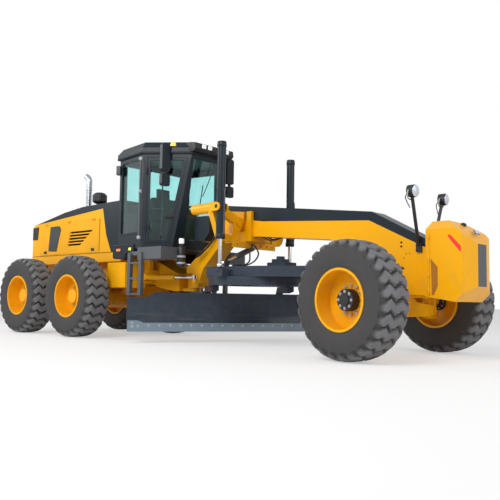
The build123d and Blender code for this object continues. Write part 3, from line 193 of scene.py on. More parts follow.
class Finish:
    """A material on one Principled shader, with the textures that the finishes share."""

    made = {}

    def __init__(self, name):
        self.material = bpy.data.materials.new(name)
        self.material.use_nodes = True
        self.tree = self.material.node_tree
        self.shader = self.tree.nodes["Principled BSDF"]
        place = self.node("ShaderNodeTexCoord", {}, {}, "Object")
        self.place = place
        split = self.node("ShaderNodeSeparateXYZ", {}, {0: place}).socket.node
        self.x = Signal(self.tree, split.outputs["X"])
        self.y = Signal(self.tree, split.outputs["Y"]) - middle
        self.z = Signal(self.tree, split.outputs["Z"])
        Finish.made[name] = self.material

    def node(self, kind, settings, values, output=0):
        return build_node(self.tree, kind, settings, values, output)

    def noise(self, scale, detail=3.0, stretch=(1, 1, 1)):
        """Noise between 0 and 1 on the piece's own place."""
        place = self.node("ShaderNodeMapping", {}, {"Vector": self.place, "Scale": stretch})
        return self.node("ShaderNodeTexNoise", {}, {"Vector": place, "Scale": scale, "Detail": detail})

    def mix(self, factor, first, second):
        """first where factor is 0 and second where it is 1."""
        first, second = (c if isinstance(c, Signal) else (*c, 1.0) for c in (first, second))
        return self.node("ShaderNodeMix", {"data_type": "RGBA"}, {0: factor, 6: first, 7: second}, 2)

    def between(self, value, low, high):
        """1 where value lies between low and high."""
        return (value > low) * (value < high)

    def above(self, line, along=None):
        """1 above a chain of points in x and z, 0 below it."""
        along = self.x if along is None else along
        height = line[0][1]
        for (x0, z0), (x1, z1) in zip(line, line[1:]):
            height = height + along.ramp(x0, x1) * (z1 - z0)
        return self.z > height

    def set(self, **sockets):
        """Sets or links the shader's sockets; underscores stand for spaces."""
        for key, value in sockets.items():
            socket = self.shader.inputs[key.replace("_", " ")]
            if isinstance(value, Signal):
                self.tree.links.new(value.socket, socket)
            elif isinstance(value, tuple) and len(value) == 3:
                socket.default_value = (*value, 1.0)
            else:
                socket.default_value = value
        return self

    def bump(self, height, distance, strength=1.0):
        """Tilts the shading normal by the slope of a height."""
        values = {"Height": height, "Distance": distance, "Strength": strength}
        return self.set(Normal=self.node("ShaderNodeBump", {}, values))

    def paint(self, colour, gloss=0.28, dust=0.25):
        """Sprayed enamel: slight patches of tone, orange peel, and road dust that thins with height."""
        tone = self.noise(1.7).ramp(0.3, 0.7)
        dark = colour if isinstance(colour, Signal) else tuple(0.9 * c for c in colour)
        painted = self.mix(tone, dark, colour)
        low = 1.0 - self.z.ramp(0.1, 1.5)
        spread = self.noise(9.0, 6.0).ramp(0.42, 0.75)
        film = low * spread * dust
        painted = self.mix(film, painted, (0.24, 0.2, 0.15))
        peel = self.noise(190.0, 2.0)
        self.set(Base_Color=painted, Roughness=gloss + 0.1 * tone + 0.4 * film, Coat_Weight=0.12)
        self.set(Coat_Roughness=0.08, Specular_IOR_Level=0.22)
        return self.bump(peel, 0.00018, 0.5)


def colours():
    """The scene's own paint and trim colours."""
    return bpy.context.scene.grader_colours


def body_paint():
    """Plain body paint."""
    return Finish("body_paint").paint(tuple(colours().body))


def dark_paint():
    """Plain charcoal paint, a little duller than the body's."""
    return Finish("dark_paint").paint(tuple(colours().dark), 0.3)


def hood_paint():
    """Body paint under a charcoal top and a slanted charcoal band next to the cab."""
    made = Finish("hood_paint")
    top = made.above([(-4.4, 2.045), (-4.166, 2.061), (-2.05, 2.205), (-1.4, 2.25)])
    back = 2.059 - 0.118 * (1.0 - made.z.ramp(1.739, 2.208)) - 0.152 * (1.0 - made.z.ramp(1.443, 1.739))
    band = (made.x > -1.0 * back) * (made.z > 1.43)
    dark = (top + band) > 0.5
    return made.paint(made.mix(dark, tuple(colours().body), tuple(colours().dark)))


def beam_paint():
    """Body paint with a charcoal upper half on the beam and charcoal valve covers beside the leg."""
    made = Finish("beam_paint")
    top = made.above([(0.3, 1.925), (1.26, 1.79), (3.02, 1.68), (3.78, 1.31)])
    cover = (abs(made.y) > 0.162) * made.between(made.z, 1.5, 1.96) * (made.x < 0.32)
    dark = (top * (made.x > 0.3) * (made.x < 3.8) + cover) > 0.5
    return made.paint(made.mix(dark, tuple(colours().body), tuple(colours().dark)))


def nose_paint():
    """Body paint with a grey upright panel on the front face."""
    made = Finish("nose_paint")
    inside = (abs(made.y) < 0.118) * made.between(made.z, 0.845, 1.325) * (made.x > 4.395)
    return made.paint(made.mix(inside, tuple(colours().body), (0.075, 0.085, 0.1)))


def blade_paint():
    """Satin blue-grey paint, rubbed bare in streaks along the blade's lower half."""
    made = Finish("blade_paint")
    base = tuple(colours().blade)
    lightened_tone = made.noise(3.0, 8.0, (0.6, 0.6, 12.0)).ramp(0.5, 0.75) * (1.0 - made.z.ramp(0.2, 0.5))
    made.paint(made.mix(0.5 * lightened_tone, base, (0.2, 0.22, 0.25)), 0.3, 0.12)
    return made


def bare_steel():
    """Scoured steel with rust specks and fine scratches along its length."""
    made = Finish("edge_steel")
    streak = made.noise(14.0, 8.0, (0.5, 0.5, 14.0))
    rust = made.noise(22.0, 8.0).ramp(0.6, 0.8)
    steel = made.mix(streak, (0.17, 0.23, 0.3), (0.34, 0.43, 0.5))
    colour = made.mix(rust * 0.35, steel, (0.17, 0.09, 0.05))
    made.set(Base_Color=colour, Metallic=1.0 - 0.6 * rust, Roughness=0.32 + 0.25 * streak)
    return made.bump(streak, 0.0004, 0.4)


def rubber():
    """Tyre rubber: fine grain, the tops of the lugs painted paler than the grooves and sidewalls, a painted
    highlight where light falls on the crown.
    """
    made = Finish("rubber")
    base = tuple(colours().rubber)
    film = made.noise(7.0, 8.0).ramp(0.35, 0.7)
    top = made.node("ShaderNodeAttribute", {"attribute_name": "tread"}, {}, "Fac")
    # Painted highlight: where the tread attribute marks the lug tops, the rubber is painted paler.
    lightened_tone = made.mix(top, base, (0.17, 0.17, 0.18))
    colour = made.mix(film * 0.25, lightened_tone, (0.1, 0.09, 0.08))
    made.set(Base_Color=colour, Roughness=0.62 + 0.2 * film, Specular_IOR_Level=0.35)
    return made.bump(made.noise(240.0, 4.0), 0.0006, 0.5)


def plastic(name, colour, rough, grain=260.0):
    """Moulded plastic or rubber trim with a fine grain."""
    made = Finish(name)
    tone = made.noise(5.0)
    colour = made.mix(tone.ramp(0.3, 0.7), tuple(0.8 * c for c in colour), colour)
    made.set(Base_Color=colour, Roughness=rough + 0.12 * tone)
    return made.bump(made.noise(grain, 2.0), 0.0002, 0.4)


def vent_mesh():
    """Punched sheet: rows of small dark holes in grey, by the product of two waves."""
    made = Finish("vent_mesh")
    along = made.node("ShaderNodeTexWave", {"bands_direction": "X"}, {"Vector": made.place, "Scale": 22.0})
    up = made.node("ShaderNodeTexWave", {"bands_direction": "Z"}, {"Vector": made.place, "Scale": 22.0})
    sheet = (along * up).ramp(0.2, 0.45)
    made.set(Base_Color=made.mix(sheet, (0.05, 0.055, 0.065), (0.008, 0.009, 0.011)), Roughness=0.5)
    return made.bump(sheet, -0.003, 0.6)


def glass_pane():
    """Tinted safety glass."""
    made = Finish("tinted_glass")
    film = made.noise(2.5, 5.0).ramp(0.5, 0.9)
    made.set(Base_Color=tuple(colours().glass), Transmission_Weight=1.0, IOR=1.25)
    return made.set(Roughness=0.01 + 0.03 * film, Specular_IOR_Level=0.8, Coat_Weight=0.6)


def metal(name, colour, rough):
    """Polished or plated metal, its roughness rising in patches of haze."""
    made = Finish(name)
    haze = made.noise(30.0, 6.0)
    made.set(Base_Color=colour, Metallic=1.0, Roughness=rough + 0.12 * haze.ramp(0.4, 0.8))
    return made.bump(haze, 0.0002, 0.2)


def fabric():
    """Seat cloth: two crossing sets of threads."""
    made = Finish("seat_cloth")
    across = made.node("ShaderNodeTexWave", {"bands_direction": "Y"}, {"Vector": made.place, "Scale": 160.0})
    up = made.node("ShaderNodeTexWave", {"bands_direction": "Z"}, {"Vector": made.place, "Scale": 160.0})
    weave = across * up
    made.set(Base_Color=made.mix(weave, (0.012, 0.013, 0.016), (0.045, 0.047, 0.055)), Roughness=0.92)
    return made.bump(weave, 0.0006, 0.7)


def lamp_glass(name, colour, glow):
    """A ribbed lens over a bright reflector."""
    made = Finish(name)
    ribs = made.node("ShaderNodeTexWave", {"bands_direction": "Z"}, {"Vector": made.place, "Scale": 26.0})
    made.set(Base_Color=made.mix(ribs, colour, tuple(min(1.0, 1.3 * c) for c in colour)), Roughness=0.12)
    made.set(Coat_Weight=1.0, Emission_Color=colour, Emission_Strength=glow)
    return made.bump(ribs, 0.001, 0.4)


# Finishes with a pattern of their own
PATTERNS = {
    "body_paint": body_paint,
    "dark_paint": dark_paint,
    "hood_paint": hood_paint,
    "beam_paint": beam_paint,
    "nose_paint": nose_paint,
    "blade_paint": blade_paint,
    "edge_steel": bare_steel,
    "rubber": rubber,
    "vent_mesh": vent_mesh,
    "tinted_glass": glass_pane,
    "seat_cloth": fabric,
}
# Colour, roughness and, where it isn't the usual one, the scale of the grain
PLASTICS = {
    "black_trim": ((0.014, 0.015, 0.018), 0.42),
    "hose": ((0.012, 0.012, 0.014), 0.45, 400.0),
    "grey_trim": ((0.09, 0.1, 0.115), 0.5),
    "pale_grey": ((0.42, 0.44, 0.46), 0.4),
    "shadow": ((0.006, 0.006, 0.007), 0.9),
    # Body yellow darkened to amber, painted as the shade on recessed faces.
    "amber_shade": ((0.42, 0.15, 0.004), 0.6),
}
# Colour and roughness
METALS = {
    "chrome": ((0.78, 0.79, 0.81), 0.07),
    "zinc": ((0.5, 0.5, 0.48), 0.3),
    "stack_steel": ((0.5, 0.52, 0.55), 0.26),
}
# Colour and glow
LENSES = {
    "white_lens": ((0.85, 0.88, 0.9), 0.25),
    "clear_lens": ((0.5, 0.55, 0.62), 0.0),
    "amber_lens": ((0.95, 0.22, 0.01), 0.3),
    "lime_lens": ((0.75, 0.82, 0.12), 0.3),
    "red_lens": ((0.7, 0.012, 0.01), 0.15),
    "beacon_lens": ((0.98, 0.62, 0.02), 0.4),
}
# The record's material slot for each finish that a piece made here wears
SLOTS = {
    "body_paint": "yellow",
    "dark_paint": "dark_grey",
    "blade_paint": "blade_paint",
    "edge_steel": "edge_steel",
    "rubber": "tyre",
    "black_trim": "black",
    "vent_mesh": "black",
    "hose": "trim",
    "grey_trim": "mid_grey",
    "pale_grey": "mid_grey",
    "shadow": "trim",
    "amber_shade": "yellow",
    "tinted_glass": "glass",
    "chrome": "chrome",
    "zinc": "edge_steel",
    "white_lens": "glass",
    "clear_lens": "glass",
    "amber_lens": "glass",
    "lime_lens": "glass",
    "red_lens": "glass",
    "beacon_lens": "glass",
}


def finish(name):
    """The material of a finish, made the first time it is asked for."""
    if name not in Finish.made:
        if name in PATTERNS:
            PATTERNS[name]()
        for table, make in ((PLASTICS, plastic), (METALS, metal), (LENSES, lamp_glass)):
            if name in table:
                make(name, *table[name])
    return Finish.made[name]


# ---------------------------------------------------------------- surfaces
class Shape:
    """Points and faces; faces are arrays of quads and lists of corners for the caps."""

    def __init__(self, points, quads, caps=()):
        self.points = np.asarray(points, float).reshape(-1, 3)
        self.quads = np.asarray(quads, int).reshape(-1, 4)
        self.caps = [list(cap) for cap in caps]

    def moved(self, matrix):
        """The shape carried by a 4 by 4 matrix."""
        matrix = np.asarray(matrix, float)
        return Shape(self.points @ matrix[:3, :3].T + matrix[:3, 3], self.quads, self.caps)

    def mirrored(self):
        """The shape on the other side of the middle plane, with its faces turned back outwards."""
        caps = [cap[::-1] for cap in self.caps]
        return Shape(self.points * (1, -1, 1), self.quads[:, ::-1], caps)


def joined(shapes):
    """Several shapes as one."""
    points, quads, caps, start = [], [], [], 0
    for shape in shapes:
        points.append(shape.points)
        quads.append(shape.quads + start)
        caps += [[corner + start for corner in cap] for cap in shape.caps]
        start += len(shape.points)
    return Shape(np.concatenate(points), np.concatenate(quads), caps)


def web(rows, columns, wrap_rows=False, wrap_columns=False):
    """Quads between neighbours on a grid of rows and columns."""
    row = np.arange(rows if wrap_rows else rows - 1)
    column = np.arange(columns if wrap_columns else columns - 1)
    row, column = (a.ravel() for a in np.meshgrid(row, column, indexing="ij"))
    next_row, next_column = (row + 1) % rows, (column + 1) % columns
    corners = (row, column), (row, next_column), (next_row, next_column), (next_row, column)
    return np.stack([r * columns + c for r, c in corners], axis=1)


def turned(profile, sides=32):
    """A lathe shape about Z: each (radius, height) of the profile, carried round a circle.

    The profile starts at the bottom, and its ends are closed with flat caps.
    """
    radius, height = np.asarray(profile, float).T
    angle = 2 * pi * np.arange(sides) / sides
    x = np.outer(radius, np.cos(angle))
    y = np.outer(radius, np.sin(angle))
    z = np.repeat(height[:, None], sides, axis=1)
    last = (len(profile) - 1) * sides
    caps = (range(sides - 1, -1, -1), range(last, last + sides))
    return Shape(np.stack([x, y, z], -1), web(len(profile), sides, False, True), caps)


def slab(outline, depth, bevel=0.004):
    """An outline in X and Y raised along Z, with its edges eased.

    Four rings of the outline: drawn in by the bevel, full, full, drawn in, at rising heights.
    """
    outline = np.asarray(outline, float)
    reach = outline - outline.mean(0)
    shrink = np.maximum(1 - bevel / np.maximum(np.abs(reach).max(0), 1e-6), 0.05)
    small = outline.mean(0) + reach * shrink
    rings = [(small, 0), (outline, bevel), (outline, depth - bevel), (small, depth)]
    points = [np.column_stack([ring, np.full(len(ring), height)]) for ring, height in rings]
    count = len(outline)
    caps = (range(count - 1, -1, -1), range(3 * count, 4 * count))
    return Shape(np.concatenate(points), web(4, count, False, True), caps)


def round_rectangle(width, height, radius, steps=5):
    """A rectangle's outline whose corners are quarter circles, anticlockwise."""
    radius = min(radius, width / 2 - 1e-4, height / 2 - 1e-4)
    angle = (np.arange(4)[:, None] + np.linspace(0, 1, steps)[None, :]) * pi / 2
    side = np.array([(1, 1), (-1, 1), (-1, -1), (1, -1)])[:, None, :]
    corner = side * (width / 2 - radius, height / 2 - radius)
    arc = radius * np.stack([np.cos(angle), np.sin(angle)], -1)
    return (corner + arc).reshape(-1, 2)


def block(width, height, depth, radius=0.01, bevel=0.004):
    """A rounded block, its width along X, height along Y and depth along Z from its back face."""
    return slab(round_rectangle(width, height, radius), depth, bevel)


def smooth_line(points, count=40):
    """A Catmull-Rom curve through points, sampled at equal steps of its parameter."""
    points = np.asarray(points, float)
    padded = np.vstack([2 * points[0] - points[1], points, 2 * points[-1] - points[-2]])
    t = np.linspace(0, len(points) - 1, count)
    i = np.minimum(t.astype(int), len(points) - 2)
    u = (t - i)[:, None]
    a, b, c, d = (padded[i + k] for k in range(4))
    return 0.5 * (2 * b + (c - a) * u + (2 * a - 5 * b + 4 * c - d) * u**2 + (3 * b - a - 3 * c + d) * u**3)


def tube(points, radius, sides=10, count=40, smooth=True):
    """A round section carried along a line, square to its direction, with flat ends."""
    line = smooth_line(points, count) if smooth else np.asarray(points, float)
    ahead = np.gradient(line, axis=0)
    ahead /= np.linalg.norm(ahead, axis=1)[:, None]
    spread = np.abs(ahead).max(0)
    reference = np.eye(3)[int(np.argmin(spread))]
    across = np.cross(ahead, reference)
    across /= np.linalg.norm(across, axis=1)[:, None]
    other = np.cross(ahead, across)
    angle = 2 * pi * np.arange(sides) / sides
    cosine, sine = np.cos(angle)[None, :, None], np.sin(angle)[None, :, None]
    ring = cosine * across[:, None, :] + sine * other[:, None, :]
    points = line[:, None, :] + radius * ring
    last = (len(line) - 1) * sides
    caps = (range(sides - 1, -1, -1), range(last, last + sides))
    return Shape(points, web(len(line), sides, False, True), caps)


def facing(place, normal, up=(0, 0, 1)):
    """A matrix that puts a shape's base at a place, its Z along a normal and its Y near up."""
    normal = Vector(normal).normalized()
    up = Vector(up)
    if abs(normal.dot(up.normalized())) > 0.99:
        up = Vector((1, 0, 0))
    across = up.cross(normal).normalized()
    upright = normal.cross(across)
    turn = Matrix((across, upright, normal)).transposed().to_4x4()
    return Matrix.Translation(Vector(place)) @ turn


def at(shape, place, normal, up=(0, 0, 1)):
    """A shape with its base at a place and its Z along a normal."""
    return shape.moved(facing(place, normal, up))


def both(shape):
    """A shape and its mirror image."""
    return joined([shape, shape.mirrored()])


def on_side(shape, s):
    """A shape worked out on the left, or its mirror image where s is -1."""
    return shape if s > 0 else shape.mirrored()


def add(name, shape, finish_name, body, smooth=True, replaces=None, ends=None):
    """Makes the object of a shape, moved to the machine's middle plane, and rides it on its body.

    A piece given ends is not ridden on a body: its place is baked into its points.
    """
    mesh = bpy.data.meshes.new(name)
    points = shape.points + (0, middle, 0)
    mesh.from_pydata(points.tolist(), [], shape.quads.tolist() + shape.caps)
    mesh.polygons.foreach_set("use_smooth", [smooth] * len(mesh.polygons))
    if smooth:
        mesh.set_sharp_from_angle(angle=radians(38))
    made = bpy.data.objects.new(name, mesh)
    bpy.context.scene.collection.objects.link(made)
    mesh.materials.append(finish(finish_name))
    if ends:
        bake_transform(made)
    else:
        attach(made, body)
    finish_name in SLOTS
    if replaces:
        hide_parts(replaces)
    return made


def bolt(radius, height=0.4):
    """A hexagon head on a washer, standing on its base."""
    angle = 2 * pi * np.arange(6) / 6
    head = slab(
        radius * np.column_stack([np.cos(angle), np.sin(angle)]), radius * (height + 0.5), radius * 0.12
    )
    washer = turned([(1.45 * radius, 0), (1.45 * radius, 0.18 * radius), (1.2 * radius, 0.25 * radius)], 20)
    return joined([washer, head])


def bolts(places, normal, radius):
    """One bolt at each place, all facing one way."""
    one = bolt(radius)
    return joined([at(one, place, normal) for place in places])


def bolt_circle(count, reach, radius, place, height=0.0):
    """Bolts at equal steps round a place's Z, each at reach times its angle's cosine and sine."""
    one = bolt(radius)
    angles = 2 * pi * np.arange(count) / count
    ring = [Matrix.Translation((reach * cos(angle), reach * sin(angle), height)) for angle in angles]
    return joined([one.moved(place @ spot) for spot in ring])


class Work:
    """What every operator here shares."""

    bl_options = {"REGISTER"}

    def execute(self, context):
        self.make(context.scene)
        return {"FINISHED"}


# ---------------------------------------------------------------- the frame's own pieces
CAD_FINISHES = {
    "beam_paint": ["front_frame"],
    "hood_paint": ["hood"],
    "dark_paint": [
        "cab_shell", "cab_door_left", "cab_door_right", "cab_roof", "rear_bumper", "engine_block",
        "lift_barrel_left", "lift_barrel_right",
    ],
    "body_paint": [
        "rear_frame", "tandem_axle", "hood_door_left", "hood_door_right", "front_axle",
        "lift_saddle", "lean_yoke_left", "lean_yoke_right", "knuckle_left", "knuckle_right", "lean_bar",
        "turn_barrel_left", "turn_barrel_right", "front_rim_left", "front_rim_right", "mid_rim_left",
        "mid_rim_right", "rear_rim_left", "rear_rim_right",
    ],
    "nose_paint": ["nose_weight"],
    "stack_steel": ["exhaust_stack"],
    "blade_paint": ["drawbar", "circle", "moldboard"],
    "edge_steel": ["cutting_edge", "ring_gear", "circle_pinion"],
    "black_trim": ["blade_carrier", "work_lights", "pre_cleaner", "steering_console", "tie_rod", "tie_end"],
    "grey_trim": ["steps", "shift_barrel"],
    "tinted_glass": ["cab_glass", "door_glass_left", "door_glass_right"],
    "chrome": [
        "lift_rod_left", "lift_rod_right", "shift_rod", "turn_rod_left", "turn_rod_right",
    ],
    "seat_cloth": ["seat"],
}


class GRADER_OT_frame(Work, bpy.types.Operator):
    """Give every piece of the frame its finish"""

    bl_idname = "grader.frame"
    bl_label = "Finish the frame"

    def make(self, scene):
        for name, nodes in CAD_FINISHES.items():
            for node in nodes:
                mesh = frame["nodes"][node].data
                mesh.materials.clear()
                mesh.materials.append(finish(name))


# ---------------------------------------------------------------- wheels
def wheel_frame(joint):
    """A matrix whose Z lies along a wheel's axle, about the middle plane's own Y."""
    place = Vector(joint["pos_m"]) - Vector((0, middle, 0))
    return facing(place, joint["axis"])


def tyre_shape(sizes):
    """A tyre about Z with block tread.

    Round the section, the width follows a flattened ellipse from bead to bead. Round the axle, the
    tread sinks by its depth where a cosine of the angle, bent into a zigzag across the width, is low.
    """
    turn = 2 * pi * np.arange(sizes.lugs * 12) / (sizes.lugs * 12)
    crown, bead, widest = sizes.radius, 0.354, 0.5
    half = sizes.width / 2
    over = np.linspace(0, pi, 43)
    across = half * np.sign(np.cos(over)) * np.abs(np.cos(over)) ** 0.5
    out = widest + (crown - widest) * np.abs(np.sin(over)) ** 0.42
    wall = np.linspace(0, 1, 7)[:-1]
    wall_out = bead + (widest - bead) * wall
    wall_across = half * (0.86 + 0.14 * np.sin(wall * pi / 2))
    ridge = 0.004 * np.exp(-(((wall_out - 0.405) / 0.012) ** 2))
    across = np.concatenate([wall_across + ridge, across, -(wall_across + ridge)[::-1]])
    out = np.concatenate([wall_out, out, wall_out[::-1]])
    zigzag = 0.95 * np.arcsin(np.sin(across / half * 2.5 * pi)) / (pi / 2)
    wave = np.cos(sizes.lugs * turn[:, None] + 1.9 * zigzag[None, :])
    groove = 1 / (1 + np.exp(16 * (wave + 0.7)))
    shoulder = np.clip((out - 0.575) / 0.035, 0, 1)
    rim_cut = 1 / (1 + np.exp(9 * (np.cos(sizes.lugs * turn)[:, None] + 0.1)))
    edge = np.exp(-(((np.abs(across) - 0.93 * half) / (0.12 * half)) ** 2))[None, :]
    sink = sizes.depth * shoulder[None, :] * np.clip(groove + 0.8 * edge * rim_cut, 0, 1)
    radius = out[None, :] - sink
    points = np.stack(
        [
            radius * np.cos(turn)[:, None],
            radius * np.sin(turn)[:, None],
            np.broadcast_to(across[None, :] * (1 - 0.35 * sink / half), radius.shape),
        ],
        -1,
    )
    # tread is 1 on the lug tops and 0 in the grooves and on the sidewalls; the rubber finish paints a
    # highlight by it.
    tread = np.clip((out - 0.6) / 0.04, 0, 1)[None, :] * (1 - np.clip(1.3 * sink / sizes.depth, 0, 1))
    return Shape(points, web(len(turn), len(out), True, True)), tread.ravel()


class GRADER_OT_tyres(Work, bpy.types.Operator):
    """Replace the six plain tyres with treaded ones"""

    bl_idname = "grader.tyres"
    bl_label = "Tyres"

    def make(self, scene):
        shape, tread = tyre_shape(scene.grader_tyres)
        for axle in ("front", "mid", "rear"):
            for side, _ in SIDES:
                placed = shape.moved(wheel_frame(joints[f"{axle}_spin_{side}"]))
                name = f"{axle}_tread_{side}"
                made = add(name, placed, "rubber", f"{axle}_wheel_{side}", True, f"{axle}_tyre_{side}")
                made.data.attributes.new("tread", "FLOAT", "POINT").data.foreach_set("value", tread)


class GRADER_OT_hubs(Work, bpy.types.Operator):
    """Wheel nuts on the six rims"""

    bl_idname = "grader.hubs"
    bl_label = "Hubs"

    def make(self, scene):
        for axle in ("front", "mid", "rear"):
            for side, s in SIDES:
                hub = wheel_frame(joints[f"{axle}_spin_{side}"])
                face = self.disc_face(f"{axle}_rim_{side}", hub, s)
                outward = Matrix.Identity(4) if s > 0 else Matrix.Rotation(pi, 4, "X")
                base = hub @ Matrix.Translation((0, 0, face)) @ outward
                nuts = bolt_circle(12, 0.165, 0.013, base)
                add(f"{axle}_wheel_nuts_{side}", nuts, "zinc", f"{axle}_wheel_{side}")

    def disc_face(self, node, hub, s):
        """How far out along the axle the disc's outer face lies, at the ring of nuts."""
        points = np.array([v.co for v in frame["nodes"][node].data.vertices]) - (0, middle, 0)
        local = points @ np.array(hub.to_3x3()) - np.array(hub.to_3x3().transposed() @ hub.translation)
        radius = np.hypot(local[:, 0], local[:, 1])
        near = local[(radius < 0.3) & (radius > 0.118), 2]
        return s * float((s * near).max()) if len(near) else 0.0


# ---------------------------------------------------------------- cab
def plate(outline, low_y, high_y, bevel=0.004):
    """A plate whose outline is given in x and z, standing between two y planes."""
    flat = slab([(x, z) for x, z in outline], high_y - low_y, bevel)
    turn = Matrix(((1, 0, 0, 0), (0, 0, -1, high_y), (0, 1, 0, 0), (0, 0, 0, 1)))
    return flat.moved(turn)


def lamp(width, height, depth, radius):
    """A lamp's housing and its lens, both about Z: a shallow tray and a domed pane inside its lip."""
    housing = block(width, height, depth, radius, 0.006)
    pane = block(width * 0.86, height * 0.86, 0.012, radius * 0.8, 0.005)
    return housing, pane.moved(Matrix.Translation((0, 0, depth - 0.002)))


DOOR_FACE = Vector((0.47, 0.61, 0)).normalized()
POST = (-0.65, 0.85)


def on_door(along, z, out=0.0):
    """A place on the left door's outer face, so far along it from the widest corner of the cab."""
    ahead = Vector((0.61, -0.47, 0)).normalized()
    return Vector((*POST, z)) + along * ahead + out * DOOR_FACE


class GRADER_OT_cab(Work, bpy.types.Operator):
    """Visor, lamps, beacon, rails, wiper, skirts and filter of the cab"""

    bl_idname = "grader.cab"
    bl_label = "Cab trim"

    def make(self, scene):
        self.roof()
        self.sides()
        self.doors()
        self.inside()
        self.filter()

    def roof(self):
        """The visor with its four lamps, the beacon, and a drip rail along each side."""
        visor = [
            (-0.22, 3.06), (-0.18, 3.112), (-0.03, 3.106), (0.075, 3.088), (0.088, 3.0),
            (0.05, 2.958), (-0.02, 2.95),
        ]
        add("roof_visor", plate(visor, -0.43, 0.43, 0.006), "black_trim", "chassis")
        housing, pane = lamp(0.105, 0.075, 0.03, 0.014)
        places = [(0.066, y, 3.046) for y in (-0.255, -0.125, 0.125, 0.255)]
        for name, part, look in (("housings", housing, "black_trim"), ("lenses", pane, "white_lens")):
            row = joined([at(part, place, (1, 0, -0.12)) for place in places])
            add(f"roof_lamp_{name}", row, look, "chassis")
        dome = [
            (0.052, 0), (0.052, 0.018), (0.045, 0.022), (0.044, 0.046), (0.036, 0.062),
            (0.018, 0.071), (0.002, 0.073),
        ]
        beacon = turned(dome, 28).moved(Matrix.Translation((-0.285, -0.56, 3.045)))
        add("roof_beacon", beacon, "beacon_lens", "chassis")
        drip = [(x, y, 2.948) for x, y in ((-1.425, 0.776), (-0.65, 0.889), (-0.0, 0.396))]
        gutter = joined([tube(list(run), 0.011, 8, 6, False) for run in zip(drip, drip[1:])])
        add("roof_gutters", both(gutter), "black_trim", "chassis")

    def sides(self):
        """The rails on the corner posts, the skirts with their marker lamps, the rear lamps and
        window seals.
        """
        x, y = POST[0] - 0.012, POST[1] + 0.046
        heights = (1.6, 2.327, 2.844)
        rail = tube([(x, y, 1.56), (x, y, 2.2), (x, y, 2.885)], 0.017, 14, 24)
        stays = [tube([(x, y, z), (x + 0.01, y - 0.05, z)], 0.011, 10, 4, False) for z in heights]
        add("post_rails", both(joined([rail] + stays)), "grey_trim", "chassis")
        knob = turned([(0.024, -0.026), (0.031, -0.018), (0.031, 0.018), (0.024, 0.026)], 20)
        knobs = [knob.moved(Matrix.Translation((x, y, z))) for z in heights]
        add("post_rail_knobs", both(joined(knobs)), "pale_grey", "chassis")
        skirt = [
            (-1.405, 1.512), (-1.405, 1.315), (-1.385, 1.288), (-1.14, 1.276), (-1.09, 1.3), (-1.045, 1.375),
            (-0.86, 1.385), (-0.86, 1.512),
        ]
        add("cab_skirts", both(plate(skirt, 0.73, 0.842, 0.01)), "dark_paint", "chassis")
        markers = {"amber": (-1.235, 1.425, 0.12, 0.05), "lime": (-0.935, 1.432, 0.075, 0.055)}
        for colour, (x, z, wide, high) in markers.items():
            base, pane = lamp(wide, high, 0.012, 0.01)
            name = f"marker_lamps_{colour}"
            add(name, both(at(pane, (x, 0.838, z), (0, 1, 0))), f"{colour}_lens", "chassis")
            add(name + "_frames", both(at(base, (x, 0.836, z), (0, 1, 0))), "black_trim", "chassis")
        housing, pane = lamp(0.1, 0.15, 0.07, 0.018)
        place, out = (-1.36, 0.752, 2.76), (-0.82, 0.57, 0)
        add("rear_work_lamps", both(at(housing, place, out)), "grey_trim", "chassis")
        add("rear_work_lenses", both(at(pane, place, out)), "white_lens", "chassis")
        window = round_rectangle(0.60, 1.2, 0.06)
        loop = np.column_stack([window, np.zeros(len(window))])
        seal = tube(np.vstack([loop, loop[:1]]), 0.006, 6, 0, False)
        seal = at(seal, (-1.03, 0.796, 2.275), (-0.145, 0.989, 0))
        add("side_window_seals", both(seal), "black_trim", "chassis")

    def doors(self):
        """Each door's two mirror panes and their clamp, its outer handle and the grab bar inside."""
        mirror_y = 0.72
        panes = [
            at(block(0.13, high - 0.04, 0.006, 0.028, 0.002), (-0.315, mirror_y, z), (-1, 0, 0))
            for z, high in ((2.84, 0.43), (2.49, 0.19))
        ]
        collar = turned([(0.02, -0.02), (0.026, -0.014), (0.026, 0.014), (0.02, 0.02)], 18)
        clamp = collar.moved(Matrix.Translation((-0.285, mirror_y, 2.605)))
        handle_z = 1.93
        grip = [(0.38, 0.01), (0.385, 0.045), (0.475, 0.045), (0.48, 0.01)]
        handle = joined([
            at(block(0.15, 0.05, 0.02, 0.02, 0.004), on_door(0.43, handle_z, -0.002), DOOR_FACE),
            tube([on_door(along, handle_z, out) for along, out in grip], 0.009, 10, 24),
        ])
        bar = [on_door(0.3, z, out) for z, out in ((1.63, 0.0), (1.66, -0.06), (2.35, -0.07), (2.4, -0.045))]
        trim = {
            "mirror_glass": (joined(panes), "chrome"),
            "mirror_clamp": (clamp, "black_trim"),
            "door_handle": (handle, "black_trim"),
            "door_grab_bar": (tube(bar, 0.012, 10, 30), "black_trim"),
        }
        for side, s in SIDES:
            for name, (shape, look) in trim.items():
                add(f"{name}_{side}", on_side(shape, s), look, f"cab_door_{side}")

